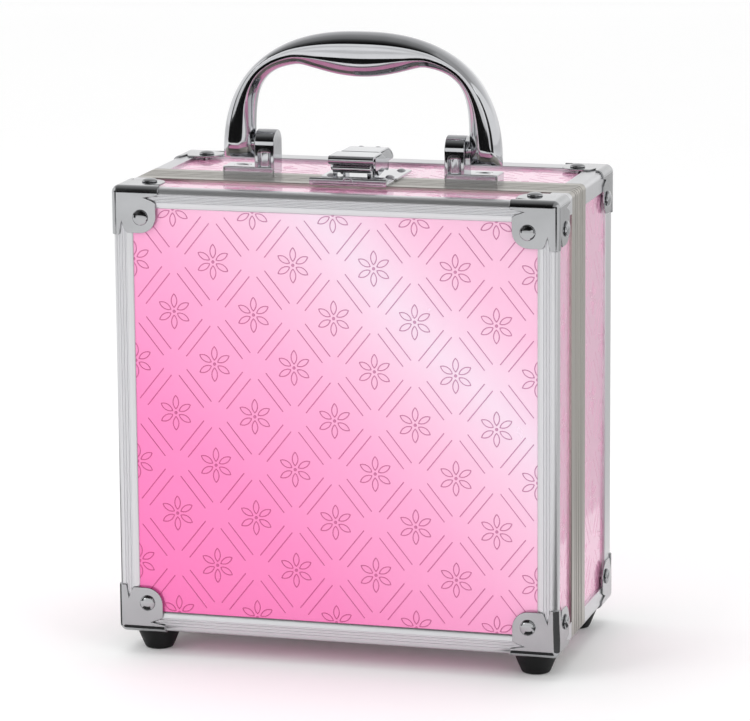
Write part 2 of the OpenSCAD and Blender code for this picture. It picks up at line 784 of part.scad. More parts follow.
// Claw: a plate over the strike's roll with a lip in front of it, carried on two arms
module latch_claw()
  color(chrome_colour) difference() {
    union() {
      for (x = [-claw_w / 2, claw_w / 2 - arm_t])
        translate([x, lever_y, lever_z]) rotate([90, 0, 90]) linear_extrude(arm_t) arm_outline();
      box_between([-claw_w / 2, claw_lip_y - arm_t, claw_top_z - arm_t],
                  [claw_w / 2, claw_back_y, claw_top_z]);
      box_between([-claw_w / 2, claw_lip_y - arm_t, claw_lip_z], [claw_w / 2, claw_lip_y, claw_top_z]);
    }
    bar_x(-latch_w, latch_w, claw_y, lever_z, latch_pin_d + 2 * pin_play);
  }

module latch_claw_pin()
  color(chrome_colour) bar_x(-claw_w / 2, claw_w / 2, claw_y, lever_z, latch_pin_d);

// ---------- Nodes ----------

face_board(BASE);  // base_face_board
level_board(BASE, TOP);  // base_top_board
level_board(BASE, BOTTOM);  // base_bottom_board
side_board(BASE, LEFT);  // base_left_board
side_board(BASE, RIGHT);  // base_right_board
face_sheet(BASE);  // base_face_sheet
wall_sheets(BASE);  // base_wall_sheets
face_trim(BASE);  // base_face_trim
edge_angles(BASE);  // base_edge_angles
rim(BASE);  // base_rim
corner_cover(LEFT, BASE, TOP);  // base_corner_top_left
corner_cover(RIGHT, BASE, TOP);  // base_corner_top_right
corner_cover(LEFT, BASE, BOTTOM);  // base_corner_bottom_left
corner_cover(RIGHT, BASE, BOTTOM);  // base_corner_bottom_right
corner_rivets(BASE);  // base_corner_rivets
foot(LEFT, BASE);  // foot_rear_left
foot(RIGHT, BASE);  // foot_rear_right
foot_screws(BASE);  // rear_foot_screws
hinge_leaf(LEFT, BASE);  // hinge_leaf_left
hinge_leaf(RIGHT, BASE);  // hinge_leaf_right
hinge_pins();
hinge_rivets(BASE);  // base_hinge_rivets
handle_bracket(LEFT);  // handle_bracket_left
handle_bracket(RIGHT);  // handle_bracket_right
bracket_screws();  // handle_bracket_screws
latch_base();
latch_base_rivets();
latch_lever_pin();
lining(BASE);  // base_lining
face_board(LID);  // lid_face_board
level_board(LID, TOP);  // lid_top_board
level_board(LID, BOTTOM);  // lid_bottom_board
side_board(LID, LEFT);  // lid_left_board
side_board(LID, RIGHT);  // lid_right_board
face_sheet(LID);  // lid_face_sheet
wall_sheets(LID);  // lid_wall_sheets
face_trim(LID);  // lid_face_trim
edge_angles(LID);  // lid_edge_angles
rim(LID);  // lid_rim
corner_cover(LEFT, LID, TOP);  // lid_corner_top_left
corner_cover(RIGHT, LID, TOP);  // lid_corner_top_right
corner_cover(LEFT, LID, BOTTOM);  // lid_corner_bottom_left
corner_cover(RIGHT, LID, BOTTOM);  // lid_corner_bottom_right
corner_rivets(LID);  // lid_corner_rivets
foot(LEFT, LID);  // foot_front_left
foot(RIGHT, LID);  // foot_front_right
foot_screws(LID);  // front_foot_screws
for (side = [LEFT, RIGHT]) hinge_leaf(side, LID);  // lid_hinge_leaves
hinge_rivets(LID);  // lid_hinge_rivets
latch_strike();
latch_strike_rivets();
lining(LID);  // lid_lining
mirror_plate();  // mirror
handle_bow();
handle_pins();
latch_lever();
latch_claw();
latch_claw_pin();
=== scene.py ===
"""Looks of a hard make-up case with a folding bow handle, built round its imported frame.

Everything is in metres, in the frame's own axes: +Z up, the lid's face towards -Y, and z = 0 on
the surface that the feet stand on. Sizes that belong to one sub-assembly are fields of its class,
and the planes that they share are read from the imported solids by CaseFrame.
"""

from __future__ import annotations

import itertools
import logging
import math
from collections.abc import Callable, Iterable, Sequence
from dataclasses import dataclass
from enum import Enum

import bmesh
import bpy
from mathutils import Matrix, Vector

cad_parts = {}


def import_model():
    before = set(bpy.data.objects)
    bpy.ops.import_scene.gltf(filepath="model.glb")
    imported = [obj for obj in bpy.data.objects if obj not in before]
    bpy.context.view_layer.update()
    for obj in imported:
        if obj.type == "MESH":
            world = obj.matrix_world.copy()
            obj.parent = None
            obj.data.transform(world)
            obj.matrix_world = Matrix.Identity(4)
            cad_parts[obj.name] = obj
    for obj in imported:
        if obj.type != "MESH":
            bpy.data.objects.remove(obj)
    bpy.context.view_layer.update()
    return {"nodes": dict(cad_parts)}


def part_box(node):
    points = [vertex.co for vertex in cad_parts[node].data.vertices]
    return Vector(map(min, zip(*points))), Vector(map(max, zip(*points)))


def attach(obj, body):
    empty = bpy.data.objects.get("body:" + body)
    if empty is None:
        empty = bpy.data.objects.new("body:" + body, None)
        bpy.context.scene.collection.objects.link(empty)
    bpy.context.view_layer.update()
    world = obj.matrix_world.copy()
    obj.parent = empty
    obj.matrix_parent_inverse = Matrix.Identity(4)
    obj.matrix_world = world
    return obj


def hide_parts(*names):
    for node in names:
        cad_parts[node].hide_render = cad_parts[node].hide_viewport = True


LOG = logging.getLogger("makeup_case")
MM = 0.001
MERGE_DISTANCE = 0.002 * MM
Point = tuple[float, float]
Triple = tuple[float, float, float]
Colour = tuple[float, float, float, float]
Stop = tuple[float, Colour]
Placing = Callable[[Vector], Vector]
Nodes = dict[str, bpy.types.Object]
Material = bpy.types.Material
Socket = bpy.types.NodeSocket


class Worded(Enum):
    """A choice whose own word stands in the names of bodies and nodes."""

    @property
    def word(self) -> str:
        """The word."""
        return self.name.lower()


class Half(Worded):
    """The two halves of the case, each a body, and the way each lies from the parting line along Y."""

    LID = -1
    BASE = 1


class Side(Worded):
    """The two sides of the case along X."""

    LEFT = -1
    RIGHT = 1


class Level(Worded):
    """The bottom and the top of the case along Z."""

    BOTTOM = -1
    TOP = 1


@dataclass(frozen=True)
class CaseFrame:
    """Planes of the case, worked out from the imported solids, and three sizes that their boxes hide."""

    half_w: float
    bottom_z: float
    top_z: float
    front_y: float
    rear_y: float
    seam_y: float
    trim_t: float
    sheet_t: float
    board_t: float
    lining_t: float
    rim_w: float
    trim_return: dict[Half, float]
    edge_r: float = 2.5 * MM
    trim_face_w: float = 9.0 * MM
    rim_flange_d: float = 5.0 * MM

    @classmethod
    def read(cls) -> CaseFrame:
        """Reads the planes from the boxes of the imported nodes.

        Returns:
            The case's planes and wall thicknesses.
        """
        trim_low, trim_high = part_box("lid_face_trim")
        rear_low, rear_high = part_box("base_face_trim")
        rim_low, rim_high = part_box("lid_rim")
        sheet_low, sheet_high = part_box("lid_face_sheet")
        board_low, board_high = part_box("lid_face_board")
        mirror_low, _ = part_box("mirror")
        return cls(
            half_w=trim_high.x,
            bottom_z=trim_low.z,
            top_z=trim_high.z,
            front_y=trim_low.y,
            rear_y=rear_high.y,
            seam_y=rim_high.y,
            trim_t=sheet_low.y - trim_low.y,
            sheet_t=sheet_high.y - sheet_low.y,
            board_t=board_high.y - board_low.y,
            lining_t=mirror_low.y - board_high.y,
            rim_w=rim_high.y - rim_low.y,
            trim_return={Half.LID: trim_high.y - trim_low.y, Half.BASE: rear_high.y - rear_low.y},
        )

    @property
    def mid_z(self) -> float:
        """Height of the middle of the case."""
        return (self.bottom_z + self.top_z) / 2

    @property
    def half_h(self) -> float:
        """Half of the case's height."""
        return (self.top_z - self.bottom_z) / 2

    @property
    def board_in(self) -> float:
        """Distance from an outer plane to the inner face of its board."""
        return self.trim_t + self.sheet_t + self.board_t

    def face_y(self, half: Half) -> float:
        """Depth of a half's outer face."""
        return self.front_y if half is Half.LID else self.rear_y

    def behind_face(self, half: Half, depth: float) -> float:
        """Y of a plane that lies some depth behind a half's face."""
        return self.face_y(half) - half.value * depth

    def from_seam(self, half: Half, distance: float) -> float:
        """Y of a plane that lies some distance into a half from the parting line."""
        return self.seam_y + half.value * distance

    def corner(self, side: Side, half: Half, level: Level) -> Matrix:
        """Transform whose local axes point from a corner into the case.

        Args:
            side: Left or right.
            half: Lid or base.
            level: Bottom or top.

        Returns:
            The transform. It mirrors where an odd number of axes turn round.
        """
        z = self.top_z if level is Level.TOP else self.bottom_z
        inwards = Matrix.Diagonal((-side.value, -half.value, -level.value, 1.0))
        return shift(side.value * self.half_w, self.face_y(half), z) @ inwards


# ---------- Mesh making ----------


def rotation(degrees: float, axis: str | Vector) -> Matrix:
    """A turn about an axis through the origin."""
    return Matrix.Rotation(math.radians(degrees), 4, axis)


def shift(x: float, y: float, z: float) -> Matrix:
    """A move along the three axes."""
    return Matrix.Translation((x, y, z))


class Solid:
    """A shape under construction, grown with bmesh operators."""

    def __init__(self) -> None:
        """Starts with nothing."""
        self.bm = bmesh.new()

    @classmethod
    def flat(cls, points: Sequence[Point], rounds: Sequence[float] = ()) -> Solid:
        """Makes a flat face in the XY plane.

        Args:
            points: Its corners, in order.
            rounds: A radius for each corner in turn. Missing ones stay sharp.

        Returns:
            The face, facing +Z when the corners run anticlockwise.
        """
        solid = cls()
        corners = [solid.bm.verts.new((x, y, 0.0)) for x, y in points]
        solid.bm.faces.new(corners)
        for corner, radius in zip(corners, rounds):
            if radius > 0:
                solid.round_corners([corner], radius, 8 if radius > 3 * MM else 4)
        # Two roundings that meet leave their last corners in one spot.
        bmesh.ops.remove_doubles(solid.bm, verts=solid.bm.verts[:], dist=MERGE_DISTANCE)
        return solid

    @classmethod
    def rectangle(cls, low: Point, high: Point, radius: float = 0.0) -> Solid:
        """Makes a flat rectangle in the XY plane with rounded corners.

        Args:
            low: Its lowest corner.
            high: Its highest corner.
            radius: Radius of its corners.

        Returns:
            The face, facing +Z.
        """
        return cls.flat([low, (high[0], low[1]), high, (low[0], high[1])], [radius] * 4)

    @classmethod
    def lathe(cls, profile: Sequence[Point], steps: int = 32) -> Solid:
        """Spins a profile about the Z axis.

        Args:
            profile: Pairs of radius and height from the bottom to the top.
            steps: Number of sides.

        Returns:
            The closed shape.
        """
        solid = cls()
        verts = [solid.bm.verts.new((r, 0.0, z)) for r, z in profile]
        edges = [solid.bm.edges.new(pair) for pair in zip(verts, verts[1:])]
        return solid.sweep(verts + edges, (0, 0, 0), (0, 0, 1), 360, steps).close()

    @classmethod
    def bar(cls, start: float, end: float, radius: float, rim: float) -> Solid:
        """Makes a round bar along X, with its axis on the X axis and softened rims.

        Args:
            start: X of one end.
            end: X of the other end.
            radius: Its radius.
            rim: Width of the bevel round each end.

        Returns:
            The bar.
        """
        run = end - start
        profile = [(0.0, 0.0), (radius - rim, 0.0), (radius, rim), (radius, run - rim), (radius - rim, run),
                   (0.0, run)]
        return cls.lathe(profile, 24).moved(shift(start, 0, 0) @ rotation(90, "Y"))

    def sweep(
        self, geometry: Sequence, centre: Triple, axis: Triple, degrees: float, steps: int
    ) -> Solid:
        """Draws vertices and edges round an axis.

        Args:
            geometry: What is drawn round.
            centre: A point on the axis.
            axis: The axis's direction.
            degrees: How far it goes. A whole turn closes on itself.
            steps: Number of stretches.

        Returns:
            The same shape.
        """
        bmesh.ops.spin(
            self.bm, geom=geometry, cent=centre, axis=axis, angle=math.radians(degrees), steps=steps,
            use_merge=degrees == 360,
        )
        return self

    def round_corners(self, corners: Sequence[bmesh.types.BMVert], radius: float, steps: int) -> None:
        """Rounds corners of a flat face.

        Args:
            corners: The corners.
            radius: Their radius.
            steps: Edges across each rounding.
        """
        bmesh.ops.bevel(
            self.bm, geom=corners, offset=radius, offset_type="OFFSET", segments=steps, profile=0.5,
            affect="VERTICES", material=-1,
        )

    def thicken(self, height: float) -> Solid:
        """Pulls flat faces up into a slab.

        Args:
            height: How far.

        Returns:
            The same shape.
        """
        made = bmesh.ops.extrude_face_region(self.bm, geom=self.bm.faces[:])["geom"]
        lifted = [v for v in made if isinstance(v, bmesh.types.BMVert)]
        bmesh.ops.translate(self.bm, verts=lifted, vec=(0, 0, height))
        bmesh.ops.recalc_face_normals(self.bm, faces=self.bm.faces[:])
        return self

    def soften(self, width: float, segments: int = 2, over_deg: float = 32.0) -> Solid:
        """Rounds every edge that is sharper than an angle.

        Args:
            width: Width of the rounding.
            segments: Faces across it.
            over_deg: Smallest turn, in degrees, that counts as sharp.

        Returns:
            The same shape.
        """
        limit = math.radians(over_deg)
        sharp = [e for e in self.bm.edges if e.is_manifold and e.calc_face_angle(0.0) > limit]
        bmesh.ops.bevel(
            self.bm, geom=sharp, offset=width, offset_type="OFFSET", segments=segments,
            profile=0.5, affect="EDGES", material=-1, clamp_overlap=True,
        )
        return self

    def close(self) -> Solid:
        """Merges doubles, fills the open ends and turns the faces outwards.

        Returns:
            The same shape.
        """
        bmesh.ops.remove_doubles(self.bm, verts=self.bm.verts[:], dist=MERGE_DISTANCE)
        rim = [e for e in self.bm.edges if e.is_boundary]
        if rim:
            bmesh.ops.holes_fill(self.bm, edges=rim, sides=0)
        bmesh.ops.recalc_face_normals(self.bm, faces=self.bm.faces[:])
        return self

    def moved(self, matrix: Matrix) -> Solid:
        """Transforms the shape, keeping its faces outwards if the transform mirrors it."""
        bmesh.ops.transform(self.bm, matrix=matrix, verts=self.bm.verts[:])
        if matrix.determinant() < 0:
            bmesh.ops.reverse_faces(self.bm, faces=self.bm.faces[:])
        return self

    def copy(self) -> Solid:
        """Makes a second shape like this one."""
        twin = Solid()
        twin.bm.free()
        twin.bm = self.bm.copy()
        return twin

    def add(self, *others: Solid) -> Solid:
        """Takes other shapes in, which are used up.

        Args:
            others: The other shapes.

        Returns:
            The same shape.
        """
        for other in others:
            spare = bpy.data.meshes.new("spare")
            other.bm.to_mesh(spare)
            other.bm.free()
            self.bm.from_mesh(spare)
            bpy.data.meshes.remove(spare)
        return self

    def paint(self, index: int) -> Solid:
        """Gives every face the finish with this index."""
        for face in self.bm.faces:
            face.material_index = index
        return self

    def cut(self, point: Sequence[float], outward: Sequence[float]) -> Solid:
        """Cuts off what lies outside a plane and closes the cut.

        Args:
            point: A point of the plane.
            outward: Direction of what is cut off.

        Returns:
            The same shape.
        """
        geometry = self.bm.verts[:] + self.bm.edges[:] + self.bm.faces[:]
        bmesh.ops.bisect_plane(
            self.bm, geom=geometry, dist=1e-7, plane_co=point, plane_no=outward, clear_outer=True
        )
        rim = [e for e in self.bm.edges if e.is_boundary]
        if rim:
            bmesh.ops.holes_fill(self.bm, edges=rim, sides=0)
        return self


class Loft(Solid):
    """A skin drawn through loops of points, each loop extruded from the one before."""

    def __init__(self, start: Solid) -> None:
        """Takes the outline of a single flat face as the first loop.

        Args:
            start: The flat face, which is used up.
        """
        self.bm = start.bm
        face = next(iter(self.bm.faces))
        self.loop = list(face.verts)
        self.homes = [v.co.copy() for v in self.loop]
        self.first = list(self.loop)
        bmesh.ops.delete(self.bm, geom=[face], context="FACES_ONLY")

    def edges_round(self, loop: Sequence[bmesh.types.BMVert]) -> list[bmesh.types.BMEdge]:
        """Edges round a loop of vertices."""
        return [self.bm.edges.get(pair) for pair in zip(loop, [*loop[1:], loop[0]])]

    def begin(self, place: Placing) -> Loft:
        """Puts the last loop in place, which in a new loft is the first."""
        for vert, home in zip(self.loop, self.homes):
            vert.co = place(home)
        return self

    def reach(self, place: Placing) -> Loft:
        """Extrudes the last loop to a new place.

        Args:
            place: Gives the new point for each point of the starting outline.

        Returns:
            The same loft.
        """
        made = bmesh.ops.extrude_edge_only(self.bm, edges=self.edges_round(self.loop))["geom"]
        fresh = {v.co.to_tuple(8): v for v in made if isinstance(v, bmesh.types.BMVert)}
        self.loop = [fresh[v.co.to_tuple(8)] for v in self.loop]
        return self.begin(place)

    def join_ends(self) -> Solid:
        """Bridges the last loop to the first, for a section that closes on itself."""
        bmesh.ops.bridge_loops(self.bm, edges=self.edges_round(self.loop) + self.edges_round(self.first))
        return self.close()


@dataclass(frozen=True)
class Outline:
    """The case's rounded front outline, which every ring round the case is drawn in from."""

    case: CaseFrame
    steps: int = 5
    smallest_r: float = 0.02 * MM

    def loft(self) -> Loft:
        """A loft whose starting outline is the rounded rectangle, flat in XY."""
        corner = (self.case.half_w, self.case.half_h)
        start = Solid.rectangle((-corner[0], -corner[1]), corner)
        start.round_corners(start.bm.verts[:], self.case.edge_r, self.steps)
        return Loft(start)

    def at(self, inset: float, y: float, radius: float | None = None) -> Placing:
        """Placing of the outline when it is drawn in and set at a depth.

        Args:
            inset: Distance in from the outer planes.
            y: Depth of the loop.
            radius: Radius of its corners. By default it shrinks with the inset.

        Returns:
            A function from a point of the starting outline to its new place.
        """
        case, start_r = self.case, self.case.edge_r
        new_r = max(start_r - inset if radius is None else radius, self.smallest_r)

        def place(home: Vector) -> Vector:
            """Keeps a point's direction from its corner's centre."""
            side, level = math.copysign(1.0, home.x), math.copysign(1.0, home.y)
            centre = Vector((side * (case.half_w - start_r), level * (case.half_h - start_r)))
            ray = (home.xy - centre) / start_r
            x = side * (case.half_w - inset - new_r) + ray.x * new_r
            z = level * (case.half_h - inset - new_r) + ray.y * new_r
            return Vector((x, y, case.mid_z + z))

        return place

    def ring(self, section: Sequence[Point], to_y: Callable[[float], float]) -> Solid:
        """Draws a closed cross-section round the case.

        Args:
            section: Pairs of inset and depth, in order round the section.
            to_y: Turns a depth into a Y in the frame.

        Returns:
            The closed ring.
        """
        loft = self.loft().begin(self.at(section[0][0], to_y(section[0][1])))
        for inset, depth in section[1:]:
            loft.reach(self.at(inset, to_y(depth)))
        return loft.join_ends()


def arc(centre: Point, radius: float, start_deg: float, end_deg: float, steps: int) -> list[Point]:
    """Points along an arc.

    Args:
        centre: Its centre.
        radius: Its radius.
        start_deg: Angle of the first point.
        end_deg: Angle of the last point.
        steps: Number of stretches.

    Returns:
        The points, one more than the stretches.
    """
    turns = [math.radians(start_deg + (end_deg - start_deg) * i / steps) for i in range(steps + 1)]
    return [(centre[0] + radius * math.cos(a), centre[1] + radius * math.sin(a)) for a in turns]


@dataclass(frozen=True)
class Ticket:
    """What a finished piece is called, rides on, its slot, and the node it stands for."""

    name: str
    body: str
    slot: str
    node: str


# ---------- Finishes ----------


def shade(red: int, green: int, blue: int) -> Colour:
    """Turns a screen colour from 0 to 255 a channel into a linear one."""
    channels = [c / 255 for c in (red, green, blue)]
    linear = [c / 12.92 if c <= 0.04045 else ((c + 0.055) / 1.055) ** 2.4 for c in channels]
    return (*linear, 1.0)


def tinted(colour: Colour, red: float, green: float, blue: float) -> Colour:
    """Keeps a share of each channel of a colour."""
    return (colour[0] * red, colour[1] * green, colour[2] * blue, 1.0)


def grey(level: float) -> Colour:
    """An even linear grey."""
    return (level, level, level, 1.0)


class Graph:
    """A material's node tree, ending in one principled shader."""

    def __init__(self, name: str, **sockets: float | Colour) -> None:
        """Makes the material.

        Args:
            name: Its name.
            sockets: Constants for the shader's own sockets, with _ for a space.
        """
        self.material = bpy.data.materials.new(name)
        self.material.use_nodes = True
        self.nodes = self.material.node_tree.nodes
        self.links = self.material.node_tree.links
        self.shader = self.nodes["Principled BSDF"]
        for socket, value in sockets.items():
            self.shader.inputs[socket.replace("_", " ")].default_value = value
        self.place = self.nodes.new("ShaderNodeTexCoord").outputs["Object"]

    def noise(self, scale: float, detail: float = 2.0, stretch: Triple = (1, 1, 1)) -> Socket:
        """Adds noise over the object's own place.

        Args:
            scale: Features per metre.
            detail: Octaves of finer noise.
            stretch: How much denser it is along each axis.

        Returns:
            The noise from 0 to 1.
        """
        mapping = self.nodes.new("ShaderNodeMapping")
        mapping.inputs["Scale"].default_value = stretch
        self.links.new(self.place, mapping.inputs["Vector"])
        texture = self.nodes.new("ShaderNodeTexNoise")
        texture.inputs["Scale"].default_value = scale
        texture.inputs["Detail"].default_value = detail
        self.links.new(mapping.outputs["Vector"], texture.inputs["Vector"])
        return texture.outputs["Fac"]

    def math(self, operation: str, *values: Socket | float) -> Socket:
        """Adds a sum, product or comparison of sockets and numbers.

        Args:
            operation: What is done with them.
            values: The sockets and numbers, in order.

        Returns:
            The result.
        """
        node = self.nodes.new("ShaderNodeMath")
        node.operation = operation
        for socket, value in zip(node.inputs, values):
            if isinstance(value, (int, float)):
                socket.default_value = value
            else:
                self.links.new(value, socket)
        return node.outputs["Value"]

    def measure(self, operation: str, direction: Triple = (0.0, 0.0, 0.0)) -> Socket:
        """Adds a vector sum of the surface's place and a direction.

        Args:
            operation: What is done with them.
            direction: The direction, if the operation has one.

        Returns:
            The result, a number.
        """
        node = self.nodes.new("ShaderNodeVectorMath")
        node.operation = operation
        node.inputs[1].default_value = direction
        self.links.new(self.place, node.inputs[0])
        return node.outputs["Value"]

    def along(self, *direction: float) -> Socket:
        """Adds how far the surface lies along a direction, in the direction's own units."""
        return self.measure("DOT_PRODUCT", direction)

    def away(self) -> Socket:
        """Adds how far the surface lies from the origin."""
        return self.measure("LENGTH")

    def ramp(self, factor: Socket, stops: Sequence[Stop]) -> Socket:
        """Adds a colour ramp.

        Args:
            factor: What drives it.
            stops: Pairs of place and colour.

        Returns:
            The colour.
        """
        node = self.nodes.new("ShaderNodeValToRGB")
        elements = node.color_ramp.elements
        while len(elements) < len(stops):
            elements.new(1.0)
        for element, (place, colour) in zip(elements, stops):
            element.position = place
            element.color = colour
        self.links.new(factor, node.inputs["Fac"])
        return node.outputs["Color"]

    def spread(self, factor: Socket, low: float, high: float) -> Socket:
        """Adds a change of range from 0 to 1 into low to high.

        Args:
            factor: What is changed.
            low: What becomes of 0.
            high: What becomes of 1.

        Returns:
            The changed number.
        """
        node = self.nodes.new("ShaderNodeMapRange")
        node.inputs["To Min"].default_value = low
        node.inputs["To Max"].default_value = high
        self.links.new(factor, node.inputs["Value"])
        return node.outputs["Result"]

    def feed(self, socket: str, source: Socket) -> None:
        """Links a socket of the shader."""
        self.links.new(source, self.shader.inputs[socket])

    def colour(self, factor: Socket, *stops: Stop) -> None:
        """Colours the surface by a ramp."""
        self.feed("Base Color", self.ramp(factor, stops))

    def roughen(self, factor: Socket, low: float, high: float) -> None:
        """Varies the roughness over a range."""
        self.feed("Roughness", self.spread(factor, low, high))

    def bump(self, height: Socket, depth: float, strength: float = 1.0) -> None:
        """Adds relief to the shader's normal.

        Args:
            height: Relief from 0 to 1.
            depth: Its real depth in metres.
            strength: Share of it that counts.
        """
        node = self.nodes.new("ShaderNodeBump")
        node.inputs["Distance"].default_value = depth
        node.inputs["Strength"].default_value = strength
        self.links.new(height, node.inputs["Height"])
        self.feed("Normal", node.outputs["Normal"])


@dataclass(frozen=True)
class PinkFoil:
    """Glossy pearl foil, deep pink at the lower left, with a painted highlight that pales it towards the
    upper right.
    """

    # The deep stops are the foil's own pink; the paler stops are painted highlight, brightest in a band near
    # the upper right, and the far stop is where it eases off.
    deepest: Colour = shade(251, 112, 184)
    deep: Colour = shade(250, 134, 194)
    middle: Colour = shade(250, 168, 210)
    light: Colour = shade(249, 192, 221)
    highlight_peak: Colour = shade(245, 218, 236)
    far: Colour = shade(243, 190, 217)
    # The walls' pink, with a weaker painted highlight towards the upper right.
    wall: Colour = shade(248, 160, 204)
    wall_highlight: Colour = shade(248, 176, 213)
    # Shares of the colour kept on the pressed lines: painted shade that darkens them as if shaded.
    line_tint: Triple = (0.62, 0.42, 0.54)
    wall_line_tint: Triple = (0.94, 0.86, 0.9)
    # Slope and start of the diagonal that the painted highlight runs along.
    fade_slope: float = 2.5
    fade_start: float = 0.2225

    def build(self, name: str, on_wall: bool = False, tint: Triple = (1.0, 1.0, 1.0)) -> Material:
        """Makes the foil.

        Args:
            name: The material's name.
            on_wall: Whether it has the walls' pink, with a weaker painted highlight.
            tint: Share of the colour that is left: painted shade that darkens the pressed lines.

        Returns:
            The material.
        """
        graph = Graph(name, Metallic=0.35, Roughness=0.24, Coat_Weight=1.0, Coat_Roughness=0.04)
        across = graph.along(self.fade_slope, 0.0, self.fade_slope)
        cloud = graph.spread(graph.noise(14.0, 3.0), -0.03, 0.03)
        place = graph.math("ADD", graph.math("ADD", across, self.fade_start), cloud)
        # A ramp along the diagonal paints a highlight over the deep pink.
        stops = [(0.08, self.deepest), (0.3, self.deep), (0.5, self.middle), (0.6, self.light),
                 (0.7, self.highlight_peak), (0.82, self.light), (0.95, self.far)]
        if on_wall:
            # The walls get a weaker painted highlight along the same diagonal.
            stops = [(0.3, self.wall), (0.9, self.wall_highlight)]
        graph.colour(place, *[(stop, tinted(colour, *tint)) for stop, colour in stops])
        graph.roughen(graph.noise(60.0, 3.0), 0.2, 0.3)
        graph.bump(graph.noise(420.0, 2.0), 0.02 * MM, 0.05 if on_wall else 0.35)
        return graph.material


@dataclass(frozen=True)
class SatinMetal:
    """Anodised aluminium, drawn along the bars so that fine streaks run with them."""

    colour: Colour = shade(222, 222, 224)
    dark: Colour = shade(212, 212, 215)
    streaks: float = 2400.0
    drawn: float = 0.0004

    def build(self, name: str, mid_z: float) -> Material:
        """Makes the metal.

        Args:
            name: The material's name.
            mid_z: Height about which the case's outline is even.

        Returns:
            The material.
        """
        graph = Graph(name, Metallic=1.0, Roughness=0.3)
        level_streaks = graph.noise(self.streaks, 2.0, (self.drawn, 1.0, 1.0))
        upright_streaks = graph.noise(self.streaks, 2.0, (1.0, 1.0, self.drawn))
        across = graph.math("ABSOLUTE", graph.along(1.0, 0.0, 0.0))
        up = graph.math("ABSOLUTE", graph.math("SUBTRACT", graph.along(0.0, 0.0, 1.0), mid_z))
        upright = graph.math("GREATER_THAN", across, up)
        picked = graph.math("MULTIPLY", upright_streaks, upright)
        rest = graph.math("MULTIPLY", level_streaks, graph.math("SUBTRACT", 1.0, upright))
        streaks = graph.math("ADD", picked, rest)
        graph.colour(streaks, (0.3, self.dark), (0.7, self.colour))
        graph.roughen(streaks, 0.24, 0.36)
        graph.bump(streaks, 0.003 * MM, 0.2)
        return graph.material


@dataclass(frozen=True)
class BrightPlate:
    """Bright plated metal: mirror-like, with faint handling marks and a slight ripple."""

    colour: Colour = shade(200, 201, 203)
    roughness: float = 0.09
    ripple: float = 0.0

    def build(self, name: str) -> Material:
        """Makes the metal.

        Args:
            name: The material's name.

        Returns:
            The material.
        """
        graph = Graph(name, Metallic=1.0, Roughness=self.roughness)
        worn = tinted(self.colour, 0.9, 0.9, 0.9)
        graph.colour(graph.noise(55.0, 4.0), (0.35, worn), (0.6, self.colour))
        graph.roughen(graph.noise(130.0, 5.0), 0.7 * self.roughness, 1.5 * self.roughness)
        if self.ripple > 0:
            graph.bump(graph.noise(70.0, 1.0), self.ripple, 1.0)
        return graph.material


@dataclass(frozen=True)
class BlackRubber:
    """Moulded black rubber with a dull, slightly pitted skin."""

    colour: Colour = shade(7, 7, 8)
    dusty: Colour = shade(17, 17, 18)

    def build(self, name: str) -> Material:
        """Makes the rubber.

        Args:
            name: The material's name.

        Returns:
            The material.
        """
        graph = Graph(name, Roughness=0.5, Specular_IOR_Level=0.3)
        graph.colour(graph.noise(90.0, 4.0), (0.4, self.colour), (0.75, self.dusty))
        graph.roughen(graph.noise(300.0, 2.0), 0.4, 0.62)
        graph.bump(graph.noise(1500.0, 2.0), 0.05 * MM, 0.6)
        return graph.material


@dataclass(frozen=True)
class FlockedCloth:
    """Black flocked lining with a short nap that lightens where it is brushed."""

    colour: Colour = shade(24, 22, 25)
    brushed: Colour = shade(44, 41, 46)

    def build(self, name: str) -> Material:
        """Makes the cloth.

        Args:
            name: The material's name.

        Returns:
            The material.
        """
        graph = Graph(name, Roughness=0.95, Sheen_Weight=0.6, Sheen_Roughness=0.4)
        graph.colour(graph.noise(28.0, 5.0), (0.4, self.colour), (0.7, self.brushed))
        graph.bump(graph.noise(2600.0, 2.0), 0.25 * MM, 0.8)
        return graph.material


@dataclass(frozen=True)
class SilveredGlass:
    """Mirror glass."""

    colour: Colour = shade(236, 240, 241)

    def build(self, name: str) -> Material:
        """Makes the mirror.

        Args:
            name: The material's name.

        Returns:
            The material.
        """
        graph = Graph(name, Metallic=1.0, Roughness=0.02, Coat_Weight=1.0, Coat_Roughness=0.01)
        hazed = tinted(self.colour, 0.97, 0.97, 0.97)
        graph.colour(graph.noise(25.0, 3.0), (0.4, hazed), (0.6, self.colour))
        return graph.material


@dataclass(frozen=True)
class FibreBoard:
    """Bare brown fibreboard, flecked along its length."""

    colour: Colour = shade(158, 124, 88)
    fleck: Colour = shade(112, 82, 54)

    def build(self, name: str) -> Material:
        """Makes the board.

        Args:
            name: The material's name.

        Returns:
            The material.
        """
        graph = Graph(name, Roughness=0.85)
        flecks = graph.noise(700.0, 4.0, (1.0, 1.0, 0.25))
        graph.colour(flecks, (0.35, self.fleck), (0.6, self.colour))
        graph.bump(flecks, 0.1 * MM, 0.5)
        return graph.material


